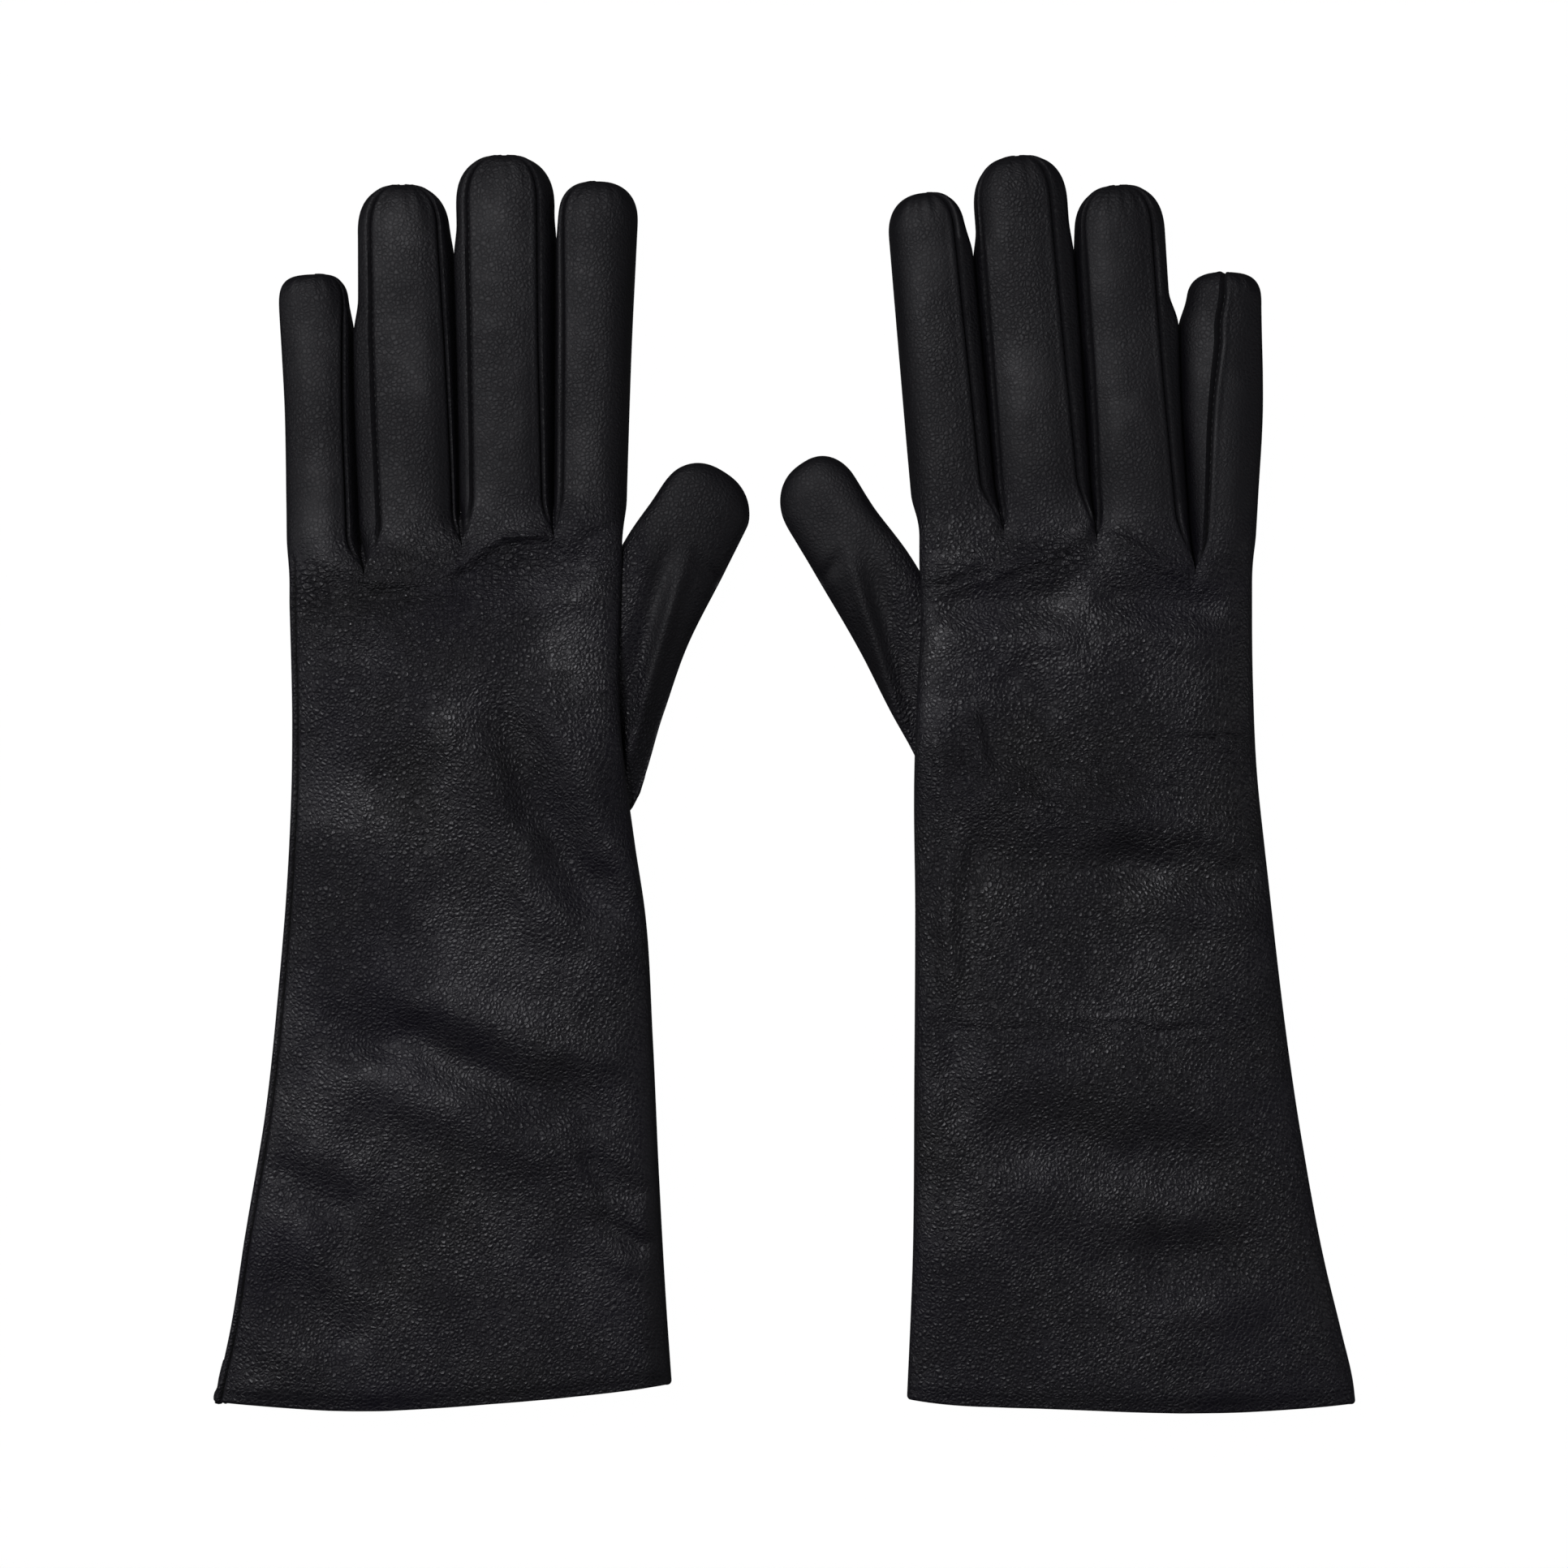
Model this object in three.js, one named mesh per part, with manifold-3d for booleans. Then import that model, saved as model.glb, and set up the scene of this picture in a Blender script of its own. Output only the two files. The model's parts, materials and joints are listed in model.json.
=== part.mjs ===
// A pair of mid-forearm leather dress gloves, lying flat with their backs up.
//
// Units are millimetres, +Z up, fingers along +Y, palms on z = 0. Every piece is shaped in its
// glove's own coordinates: x runs from the little-finger side to the thumb side, y from the hem
// to the fingertips, z from the palm to the back. The right glove is mirrored in x at the end.

import * as THREE from 'three';
import { mergeVertices } from 'three/addons/utils/BufferGeometryUtils.js';
import Module from 'manifold-3d';

const wasm = await Module();
wasm.setup();

// ---- Materials and fits ------------------------------------------------------------------

const leather = 0.9;
const liningCloth = 0.5;
const liningGap = 0.35; // air between a leather wall and its lining
const seamGap = 0.3; // between two pieces that are sewn edge to edge
const jointGap = 0.5; // left at a hinge line, on each side of it
const threadWidth = 0.8;

// ---- Sizes of one glove ------------------------------------------------------------------

const slitGap = 1.7; // air between two neighbouring fingers at their roots
const wristWidth = 80.5;
const forearmWidth = 90;
const mouthWidth = 108;

const fingerThickness = 15;
const palmThickness = 17.5;
const wristThickness = 16;
const mouthThickness = 13;
const thumbThickness = 12;

const wristY = -14;
const cuffLength = 135; // from the wrist line to the hem's fold
const hemDepth = 12;

// The palm's thumb-side edge is lifted over the thumb by this much.
const thumbRise = 12.6;

const fourchetteWidth = 8;
const fourchettePoint = 12; // length of its tapered end
const fourchetteTip = 4.5; // from its point to the fingertip
const quirkWidth = 5.4;
const quirkDrop = 2.8; // how far it reaches below the hinge line

// Root, middle and tip widths of each finger, and its length from its knuckle line.
const fingerSizes = {
  index: { root: 16.6, middle: 17.4, tip: 16, length: 83 },
  middle: { root: 21.1, middle: 22.2, tip: 21, length: 91.5 },
  ring: { root: 21.2, middle: 22.1, tip: 20.3, length: 88.5 },
  little: { root: 15.8, middle: 16.7, tip: 15, length: 71 },
};

const thumbWidth = 24;

const gapBetweenGloves = 7; // from thumb to thumb

// ---- Bending -----------------------------------------------------------------------------

const fingerCurl = 75;
const fingerLift = 30;
const thumbCurl = 50;
const thumbLift = 0;
const wristCurl = 40;
const wristLift = 40;

// ---- How each glove lies -----------------------------------------------------------------

// A finger's knuckleY is how far its knuckle line lies along the glove, and lean is its angle
// towards the thumb in degrees. The row of fingers sits to the thumb side by rowShift. The
// cuff's mouth sits to one side of the hand by cuffLean, and its middle bows by cuffBow.
const gloves = [
  {
    side: 'left',
    mirror: 1,
    cuffLean: -3.6,
    cuffBow: 2.2,
    rowShift: 0.5,
    fingers: {
      index: { knuckleY: 60, lean: 1.4 },
      middle: { knuckleY: 58.8, lean: -0.4 },
      ring: { knuckleY: 54.6, lean: -1.5 },
      little: { knuckleY: 50.8, lean: -2.2 },
    },
    thumbInnerEdge: [[18.3, 3.2], [26.5, 25.3], [34.6, 44.2], [45.5, 65.2], [54.1, 80.3]],
  },
  {
    side: 'right',
    mirror: -1,
    cuffLean: -10.8,
    cuffBow: 0.8,
    rowShift: -1.7,
    fingers: {
      index: { knuckleY: 60, lean: 5.4 },
      middle: { knuckleY: 60, lean: 4.3 },
      ring: { knuckleY: 55.2, lean: 3.8 },
      little: { knuckleY: 50.8, lean: -0.5 },
    },
    thumbInnerEdge: [[18.3, 3.3], [26.6, 24.9], [35.8, 43], [47.8, 64.9], [57.5, 80.6]],
  },
];

const fingerOrder = ['index', 'middle', 'ring', 'little'];

// ---- Facets ------------------------------------------------------------------------------

const fingerSides = 12;
const thumbSides = 12;
const handSides = 20;
const squareness = 2.7; // 2 is an ellipse, larger is boxier
const farAway = 40; // how far a cutting solid runs past what it cuts

// ---- Solids ------------------------------------------------------------------------------

function toSolid(geometry) {
  const bare = geometry.clone();
  bare.deleteAttribute('normal');
  bare.deleteAttribute('uv');
  const merged = mergeVertices(bare, 1e-4);
  return new wasm.Manifold(new wasm.Mesh({
    numProp: 3,
    vertProperties: new Float32Array(merged.attributes.position.array),
    triVerts: new Uint32Array(merged.index.array),
  }));
}

function toGeometry(solid, mirror) {
  const cut = solid.getMesh();
  const points = Float32Array.from(cut.vertProperties);
  const corners = Uint32Array.from(cut.triVerts);
  if (mirror < 0) {
    for (let i = 0; i < points.length; i += 3) points[i] = -points[i];
    for (let i = 0; i < corners.length; i += 3) {
      [corners[i], corners[i + 1]] = [corners[i + 1], corners[i]];
    }
  }
  const geometry = new THREE.BufferGeometry();
  geometry.setAttribute('position', new THREE.BufferAttribute(points, 3));
  geometry.setIndex(new THREE.BufferAttribute(corners, 1));
  geometry.computeVertexNormals();
  return geometry;
}

// Directions of a limb that heads lean degrees from +Y towards +X.
function directions(lean) {
  const angle = THREE.MathUtils.degToRad(lean);
  return {
    along: new THREE.Vector3(Math.sin(angle), Math.cos(angle), 0),
    across: new THREE.Vector3(Math.cos(angle), -Math.sin(angle), 0),
    up: new THREE.Vector3(0, 0, 1),
  };
}

// One ring of points across a limb. Its underside and its top are flat facets. An inset moves
// the ring inwards by a wall's thickness, and rise lifts its thumb-side edge.
function ring({ centre, lean, width, thickness, lowest = 0, rise = 0 }, sides, inset) {
  const { across } = directions(lean);
  const step = (2 * Math.PI) / sides;
  const full = Math.cos(step / 2) ** (2 / squareness);
  const points = [];
  for (let i = 0; i < sides; i++) {
    const angle = step * (i + 0.5);
    const bulge = (value) => (Math.sign(value) * Math.abs(value) ** (2 / squareness)) / full;
    const sideways = bulge(Math.cos(angle));
    const height = (bulge(Math.sin(angle)) * (thickness - 2 * inset) + thickness) / 2;
    const lifted = rise * THREE.MathUtils.smoothstep(sideways, 0.35, 1) * (1 - height / thickness);
    const reach = sideways * (width / 2 - inset);
    points.push(new THREE.Vector3(
      centre[0] + across.x * reach,
      centre[1] + across.y * reach,
      lowest + height + lifted,
    ));
  }
  return points;
}

// A closed solid through a row of rings that all have as many points.
function loft(rings) {
  const sides = rings[0].length;
  const points = rings.flat();
  const corners = [];
  for (let row = 0; row < rings.length - 1; row++) {
    for (let i = 0; i < sides; i++) {
      const a = row * sides + i;
      const b = row * sides + ((i + 1) % sides);
      corners.push(a, b + sides, b, a, a + sides, b + sides);
    }
  }
  const last = (rings.length - 1) * sides;
  for (let i = 1; i < sides - 1; i++) {
    corners.push(0, i, i + 1);
    corners.push(last, last + i + 1, last + i);
  }
  const geometry = new THREE.BufferGeometry().setFromPoints(points);
  geometry.setIndex(corners);
  return toSolid(geometry);
}

// A flat outline in a limb's plane of length and height, extruded across the limb.
function sideProfile(outline, { at, height, lean }, from, to) {
  const { along, across, up } = directions(lean);
  const shape = new THREE.Shape(outline.map(([length, rise]) => new THREE.Vector2(length, rise)));
  const geometry = new THREE.ExtrudeGeometry(shape, { depth: to - from, bevelEnabled: false });
  geometry.translate(0, 0, from);
  geometry.applyMatrix4(new THREE.Matrix4().makeBasis(along, up, across));
  geometry.translate(at[0], at[1], height);
  return toSolid(geometry);
}

// The space that a hinge needs clear of one of its two sides. Each wall leans back from the
// hinge line by half of the angle it bends through, so that the two sides close without meeting.
function hingeSpace(hinge, keepsFront, gap, from = -farAway, to = farAway) {
  const way = keepsFront ? 1 : -1;
  const leanBack = (angle) => farAway * Math.tan(THREE.MathUtils.degToRad(angle / 2));
  const outline = [
    [way * gap, 0],
    [way * (gap + leanBack(hinge.lift)), farAway],
    [-way * 2 * farAway, farAway],
    [-way * 2 * farAway, -farAway],
    [way * (gap + leanBack(hinge.curl)), -farAway],
  ];
  return sideProfile(outline, hinge, from, to);
}

// ---- Limbs -------------------------------------------------------------------------------

// The four roots stand side by side, so together they set how wide the hand is there.
const rootWidths = fingerOrder.map((name) => fingerSizes[name].root);
const knuckleWidth = rootWidths.reduce((sum, width) => sum + width) + slitGap * 3;

function knuckleOf(glove, name) {
  const place = fingerOrder.indexOf(name);
  const before = rootWidths.slice(0, place).reduce((sum, width) => sum + width + slitGap, 0);
  const x = knuckleWidth / 2 - before - rootWidths[place] / 2 + glove.rowShift;
  return [x, glove.fingers[name].knuckleY];
}

function fingerHinge(glove, name) {
  const at = knuckleOf(glove, name);
  const { lean } = glove.fingers[name];
  return { at, height: fingerThickness / 2, lean, curl: fingerCurl, lift: fingerLift };
}

function wristHinge() {
  const across = { at: [0, wristY], height: wristThickness / 2, lean: 0 };
  return { ...across, curl: wristCurl, lift: wristLift };
}

// A finger is a tube with a rounded, closed tip. inset is how far its surface lies inside the
// leather's outer face.
function fingerBody(glove, name, inset) {
  const knuckle = knuckleOf(glove, name);
  const { lean } = glove.fingers[name];
  const size = fingerSizes[name];
  const { along } = directions(lean);
  const station = (distance, width, fullness) => ring({
    centre: [knuckle[0] + along.x * distance, knuckle[1] + along.y * distance],
    lean,
    width: (width - 2 * inset) * fullness + 2 * inset,
    thickness: (fingerThickness - 2 * inset) * fullness + 2 * inset,
    lowest: (fingerThickness / 2 - inset) * (1 - fullness),
  }, fingerSides, inset);
  return loft([
    station(0, size.root, 1),
    station(size.length * 0.5, size.middle, 1),
    station(size.length * 0.82, (size.middle + size.tip) / 2, 1),
    station(size.length - 6, size.tip, 0.94),
    station(size.length - 1.8 - inset * 0.7, size.tip, 0.7),
    station(size.length - inset, size.tip, 0.4),
  ]);
}

// The thumb is set out from its inner edge, so that a wider thumb grows away from the fingers.
function thumbCurve(glove) {
  return new THREE.CatmullRomCurve3(glove.thumbInnerEdge.map(([x, y]) => new THREE.Vector3(x, y, 0)));
}

// The thumb's middle line at a share of its length, and the angle it heads in.
function thumbPlace(glove, share) {
  const path = thumbCurve(glove);
  const edge = path.getPointAt(share);
  const heading = path.getTangentAt(share);
  const lean = THREE.MathUtils.radToDeg(Math.atan2(heading.x, heading.y));
  const middle = edge.addScaledVector(directions(lean).across, thumbWidth / 2);
  return { at: [middle.x, middle.y], lean };
}

function thumbHinge(glove) {
  const { at, lean } = thumbPlace(glove, 0);
  return { at, height: thumbThickness / 2, lean, curl: thumbCurl, lift: thumbLift };
}

function thumbBody(glove, inset) {
  const length = thumbCurve(glove).getLength();
  const station = (distance, fullness) => {
    const { at, lean } = thumbPlace(glove, Math.min(distance / length, 1));
    return ring({
      centre: at,
      lean,
      width: (thumbWidth - 2 * inset) * fullness + 2 * inset,
      thickness: (thumbThickness - 2 * inset) * fullness + 2 * inset,
      lowest: (thumbThickness / 2 - inset) * (1 - fullness),
    }, thumbSides, inset);
  };
  return loft([
    station(0, 1),
    station(length * 0.28, 1),
    station(length * 0.55, 1),
    station(length - 9, 0.96),
    station(length - 2.5 - inset * 0.7, 0.66),
    station(length - inset, 0.38),
  ]);
}

// How wide and thick the glove is, and where its middle lies, at any distance along it.
const widthCurve = [
  [70, knuckleWidth],
  [50, knuckleWidth],
  [wristY + 22, wristWidth],
  [wristY - 46, forearmWidth],
  [wristY - cuffLength, mouthWidth],
];
const thicknessCurve = [
  [70, fingerThickness],
  [52, fingerThickness],
  [26, palmThickness],
  [wristY, wristThickness],
  [wristY - cuffLength, mouthThickness],
];
const riseCurve = [
  [70, 0],
  [60, 0],
  [48, thumbRise * 0.8],
  [34, thumbRise],
  [14, thumbRise],
  [wristY + 4, 0],
  [wristY - cuffLength, 0],
];

function readCurve(curve, y) {
  for (let i = 1; i < curve.length; i++) {
    const [fromY, from] = curve[i - 1];
    const [toY, to] = curve[i];
    if (y >= toY || i === curve.length - 1) return from + ((to - from) * (fromY - y)) / (fromY - toY);
  }
  return curve[0][1];
}

// The hand and the cuff are one tube, open at the fingers and at the mouth, and share one form.
function gloveRing(glove, y, inset) {
  const down = Math.max(0, (wristY - y) / cuffLength);
  const middle = glove.cuffLean * down * down + glove.cuffBow * 4 * down * (1 - down);
  return ring({
    centre: [middle, y],
    lean: 0,
    width: readCurve(widthCurve, y),
    thickness: readCurve(thicknessCurve, y),
    rise: readCurve(riseCurve, y),
  }, handSides, inset);
}

function gloveBody(glove, stations, inset) {
  return loft(stations.map((y) => gloveRing(glove, y, inset)));
}

const hemY = wristY - cuffLength;
const handStations = [wristY, wristY + 22, 30, 44, 54, 66];
const cuffStations = [hemY, hemY + 34, wristY - 46, wristY - 16, wristY];

// A tube's wall: its outer form less its inner one, which runs past both open ends.
function tubeWall(glove, stations, outerInset, thickness) {
  const first = stations[0];
  const last = stations[stations.length - 1];
  const longer = [first - 1, ...stations, last + 1];
  const hollow = loft(longer.map((y) => {
    const inside = gloveRing(glove, Math.min(Math.max(y, first), last), outerInset + thickness);
    return inside.map((point) => point.setY(y));
  }));
  return gloveBody(glove, stations, outerInset).subtract(hollow);
}

// ---- Openings between the hand and its digits ------------------------------------------------

// The line between two neighbouring fingers, half way from one root to the other.
function slitX(glove, a, b) {
  const first = knuckleOf(glove, a)[0] - fingerSizes[a].root / 2;
  const second = knuckleOf(glove, b)[0] + fingerSizes[b].root / 2;
  return (first + second) / 2;
}

// Cuts the hand's front end back from every finger's knuckle line.
function cutForFingers(solid, glove, gap) {
  return fingerOrder.reduce((left, name, i) => {
    const hinge = fingerHinge(glove, name);
    const before = fingerOrder[i - 1];
    const after = fingerOrder[i + 1];
    const overlap = 1; // leaves no sliver between two neighbouring cuts
    const to = before ? slitX(glove, before, name) - hinge.at[0] + overlap : farAway;
    const from = after ? slitX(glove, name, after) - hinge.at[0] - overlap : -farAway;
    return left.subtract(hingeSpace(hinge, false, gap, from, to));
  }, solid);
}

// The hole that the thumb stands in. Below the thumb's middle it is open from the thumb's inner
// side to past the hand's edge, because that is where the thumb goes as it bends to the palm.
function thumbHole(glove, gap) {
  const { at, lean } = thumbHinge(glove);
  const { along, across } = directions(lean);
  const behind = 4;
  const start = new THREE.Vector2(at[0] - along.x * behind, at[1] - along.y * behind);
  const aside = thumbWidth / 2 + gap;
  const inner = [0, 0.25, 0.5, 0.75, 1].map((share) => {
    const place = thumbPlace(glove, share);
    const sideways = directions(place.lean).across;
    return [place.at[0] - sideways.x * aside, place.at[1] - sideways.y * aside];
  });
  const outer = [start.x + across.x * aside, start.y + across.y * aside];
  const last = inner[inner.length - 1];
  const outline = [
    [start.x - across.x * aside, start.y - across.y * aside],
    ...inner,
    [last[0] + 2 * farAway, last[1]],
    [last[0] + 2 * farAway, outer[1]],
    outer,
  ];
  const shape = new THREE.Shape(outline.map(([x, y]) => new THREE.Vector2(x, y)).reverse());
  const below = new THREE.ExtrudeGeometry(shape, { depth: farAway, bevelEnabled: false });
  below.translate(0, 0, thumbThickness / 2 - farAway);
  return thumbBody(glove, -gap).add(toSolid(below));
}

// ---- Pieces ------------------------------------------------------------------------------

function cuffPieces(glove) {
  const hinge = wristHinge();
  const inset = leather + liningGap;
  const hemStations = [hemY + 0.6, hemY + hemDepth];
  const liningStations = [hemY + hemDepth + seamGap, ...cuffStations.slice(1)];
  const behindWrist = hingeSpace(hinge, false, jointGap, -2 * farAway, 2 * farAway);
  return {
    cuff: tubeWall(glove, cuffStations, 0, leather).subtract(behindWrist),
    cuff_hem: tubeWall(glove, hemStations, leather + seamGap, leather),
    cuff_lining: tubeWall(glove, liningStations, inset, liningCloth).subtract(behindWrist),
    cuff_seam: seamThread(glove, cuffStations).subtract(behindWrist),
  };
}

function handPieces(glove) {
  const inset = leather + liningGap;
  const aheadOfWrist = hingeSpace(wristHinge(), true, jointGap, -2 * farAway, 2 * farAway);
  const trim = (solid, gap) => cutForFingers(solid, glove, gap).subtract(aheadOfWrist);
  const hole = thumbHole(glove, jointGap);
  const liningSetback = 4.5;
  return {
    hand: trim(tubeWall(glove, handStations, 0, leather), jointGap).subtract(hole),
    hand_lining: trim(tubeWall(glove, handStations, inset, liningCloth), liningSetback).subtract(hole),
    hand_seam: trim(seamThread(glove, handStations), jointGap),
  };
}

// The thread of the long seam, just outside the little-finger edge.
function seamThread(glove, stations) {
  const rings = stations.map((y) => {
    const edge = gloveRing(glove, y, 0);
    const half = edge.length / 2;
    const rim = edge[half];
    const under = edge[half - 1];
    const middle = (rim.z + under.z) / 2;
    const outside = Math.min(rim.x, under.x) - seamGap;
    return [
      new THREE.Vector3(outside, y, middle - threadWidth),
      new THREE.Vector3(outside, y, middle + threadWidth),
      new THREE.Vector3(outside - threadWidth, y, middle + threadWidth / 2),
      new THREE.Vector3(outside - threadWidth, y, middle - threadWidth / 2),
    ];
  });
  return loft(rings);
}

// A strip's side outline: parallel edges and a tapered end. grow widens it all round.
function fourchetteOutline(size, grow) {
  const half = fourchetteWidth / 2 + grow;
  const point = size.length - fourchetteTip + grow;
  const shoulder = point - fourchettePoint;
  return [[-5, -half], [shoulder, -half], [point, 0], [shoulder, half], [-5, half]];
}

// towards is +1 for the side that faces the thumb and -1 for the other.
function fourchetteBlock(glove, name, towards, grow) {
  const size = fingerSizes[name];
  const near = Math.min(size.root, size.tip) / 2 - 4;
  const far = size.middle / 2 + 3;
  const [from, to] = towards > 0 ? [near, far] : [-far, -near];
  return sideProfile(fourchetteOutline(size, grow), fingerHinge(glove, name), from, to);
}

function fingerPieces(glove, name) {
  const hinge = fingerHinge(glove, name);
  const inset = leather + liningGap;
  const wall = fingerBody(glove, name, 0)
    .subtract(fingerBody(glove, name, leather))
    .subtract(hingeSpace(hinge, true, jointGap));
  const pieces = {};
  const strips = [];
  if (name !== 'index') strips.push(['thumb_side', 1]);
  if (name !== 'little') strips.push(['outer_side', -1]);
  let panels = wall;
  for (const [place, towards] of strips) {
    const half = seamGap / 2;
    pieces[`${name}_fourchette_${place}`] = wall.intersect(fourchetteBlock(glove, name, towards, -half));
    panels = panels.subtract(fourchetteBlock(glove, name, towards, half));
  }
  pieces[`${name}_finger`] = panels;
  pieces[`${name}_lining`] = fingerBody(glove, name, inset)
    .subtract(fingerBody(glove, name, inset + liningCloth))
    .subtract(hingeSpace(hinge, true, 1.5));
  return pieces;
}

// The small diamond set into the crotch between two fingers.
function quirk(glove, a, b) {
  const crotchY = Math.min(glove.fingers[a].knuckleY, glove.fingers[b].knuckleY);
  const setback = 3.6; // keeps it behind both fingers as they curl
  const place = {
    at: [slitX(glove, a, b), crotchY - setback],
    height: fingerThickness / 2,
    lean: 90,
  };
  const top = fingerThickness / 2 - leather - seamGap;
  const waist = (top - quirkDrop) / 2;
  const outline = [[-quirkWidth / 2, waist], [0, -quirkDrop], [quirkWidth / 2, waist], [0, top]];
  const insideHand = gloveBody(glove, handStations, leather + seamGap);
  return sideProfile(outline, place, -leather, 0).intersect(insideHand);
}

function thumbPieces(glove) {
  const hinge = thumbHinge(glove);
  const inset = leather + liningGap;
  return {
    thumb: thumbBody(glove, 0)
      .subtract(thumbBody(glove, leather))
      .subtract(hingeSpace(hinge, true, jointGap)),
    thumb_lining: thumbBody(glove, inset)
      .subtract(thumbBody(glove, inset + liningCloth))
      .subtract(hingeSpace(hinge, true, 1.5)),
  };
}

// ---- Assembly ----------------------------------------------------------------------------

function leatherFinish() {
  return new THREE.MeshStandardMaterial({ color: 0x25252a, roughness: 0.5, metalness: 0 });
}

function liningFinish() {
  return new THREE.MeshStandardMaterial({ color: 0x1b1a1f, roughness: 0.7, metalness: 0 });
}

function threadFinish() {
  return new THREE.MeshStandardMaterial({ color: 0x141416, roughness: 0.6, metalness: 0 });
}

function finishOf(name) {
  if (name.endsWith('lining')) return liningFinish();
  if (name.endsWith('seam')) return threadFinish();
  return leatherFinish();
}

function buildGlove(glove) {
  const pieces = {
    ...cuffPieces(glove),
    ...handPieces(glove),
    ...thumbPieces(glove),
  };
  for (const name of fingerOrder) Object.assign(pieces, fingerPieces(glove, name));
  for (let i = 1; i < fingerOrder.length; i++) {
    const [a, b] = [fingerOrder[i - 1], fingerOrder[i]];
    pieces[`${a}_${b}_quirk`] = quirk(glove, a, b);
  }
  const group = new THREE.Group();
  for (const [name, solid] of Object.entries(pieces)) {
    const mesh = new THREE.Mesh(toGeometry(solid, glove.mirror), finishOf(name));
    mesh.name = `${glove.side}_${name}`;
    group.add(mesh);
  }
  const { min, max } = new THREE.Box3().setFromObject(group, true);
  const thumbEdge = glove.mirror > 0 ? max.x : min.x;
  group.position.x = (-glove.mirror * gapBetweenGloves) / 2 - thumbEdge;
  return group;
}

const pair = new THREE.Group();
for (const glove of gloves) pair.add(buildGlove(glove));

// The origin is under the middle of the pair's box.
pair.updateMatrixWorld(true);
const box = new THREE.Box3().setFromObject(pair, true);
const middle = box.getCenter(new THREE.Vector3());
pair.position.set(-middle.x, -middle.y, -box.min.z);

export default pair;
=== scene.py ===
import json
import math

import bpy
import numpy as np
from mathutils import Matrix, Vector


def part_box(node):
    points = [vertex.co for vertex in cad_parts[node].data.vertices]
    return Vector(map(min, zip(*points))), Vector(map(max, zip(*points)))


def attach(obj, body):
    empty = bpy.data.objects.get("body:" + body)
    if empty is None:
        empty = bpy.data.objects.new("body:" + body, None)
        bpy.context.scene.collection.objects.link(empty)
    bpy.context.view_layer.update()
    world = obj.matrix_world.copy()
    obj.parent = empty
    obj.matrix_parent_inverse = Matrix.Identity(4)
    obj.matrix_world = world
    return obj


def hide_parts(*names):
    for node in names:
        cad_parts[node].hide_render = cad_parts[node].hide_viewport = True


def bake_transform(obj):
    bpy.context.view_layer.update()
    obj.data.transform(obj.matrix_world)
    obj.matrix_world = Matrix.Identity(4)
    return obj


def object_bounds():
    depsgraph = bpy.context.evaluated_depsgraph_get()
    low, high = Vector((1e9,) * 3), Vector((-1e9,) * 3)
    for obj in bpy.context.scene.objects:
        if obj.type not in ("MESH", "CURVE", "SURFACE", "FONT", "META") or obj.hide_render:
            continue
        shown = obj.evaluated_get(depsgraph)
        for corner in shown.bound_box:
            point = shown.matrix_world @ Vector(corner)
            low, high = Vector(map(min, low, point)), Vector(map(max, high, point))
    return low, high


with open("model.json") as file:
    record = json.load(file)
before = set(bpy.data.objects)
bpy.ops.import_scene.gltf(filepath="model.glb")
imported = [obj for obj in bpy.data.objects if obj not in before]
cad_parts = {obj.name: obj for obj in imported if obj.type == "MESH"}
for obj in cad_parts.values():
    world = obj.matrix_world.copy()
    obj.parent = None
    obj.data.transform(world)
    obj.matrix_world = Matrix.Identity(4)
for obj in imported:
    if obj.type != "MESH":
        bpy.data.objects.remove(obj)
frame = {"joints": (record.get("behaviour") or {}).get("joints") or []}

# A pair of mid-forearm dress gloves in fine leather, lying flat with their backs up.
# Sizes are in millimetres until a mesh is made.

MM = 0.001
cad_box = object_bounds()
scene = bpy.context.scene
joints = {joint["name"]: joint for joint in frame["joints"]}

# -------- the gloves' own sizes

LEATHER = 0.8
LINING_CLOTH = 0.5
LINING_DEPTH = 1.5
HEM_DEPTH = 12.0
HEM_ROWS = 9
QUIRK_LENGTH = 9.0
QUIRK_HALF_WIDTH = 2.4
QUIRK_LEATHER = 0.6
FOLD_RADIUS = 0.85
THREAD_RADIUS = 0.13
STITCH_STEP = 2.0
STITCH_LENGTH = 1.35
SEAM_DEPTH = 1.1
SEAM_WIDTH = 0.36
SEAM_ROLL = 0.18
ROLL_BESIDE = 1.25
SEAM_SHADE_WIDTH = 0.45
SEAM_SEARCH = 9
BEYOND_SEARCH = 99.0
FINGER_GAP = 0.12
GUSSET_TILT = 2.2
PUCKER = 0.13
GUSSET_SPREAD = 2.2

CUFF_TO_WRIST = 24.0
KNUCKLE_SETBACK = 6.0
BEND_AHEAD = 16.0
THUMB_BEND_AHEAD = 14.0
CROTCH_RUN = 12.0
CUFF_REACH = 110.0
HAND_REACH = 90.0
MOUTH_ROUNDING = 0.16
MOUTH_RUN = 2.4

PANEL_COLUMNS = 28
SIDE_COLUMNS = 18
CUFF_ROWS = 112
CUFF_ROW_STEP = 1.05
HAND_ROWS = 92
FINGER_ROWS = 96
TIP_ROWS = 22
FIRST_STITCHED_ROW = 14
THUMB_ROWS = 66
THUMB_COLUMNS = 84

PEBBLES_PER_METRE = 960.0
FOLD_STRENGTH = 1.25
WRINKLES_PER_METRE = 820.0

HAND_SQUARENESS = 3.3
FINGER_SQUARENESS = 2.4
THUMB_SQUARENESS = 2.5
TIP_SQUARENESS = 2.5
TIP_ROUNDED = math.radians(86.5)
FOLD_INSET = 4.0
THUMB_TIP_RADIUS = 10.0
THUMB_TIP_SQUARENESS = 2.4

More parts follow.
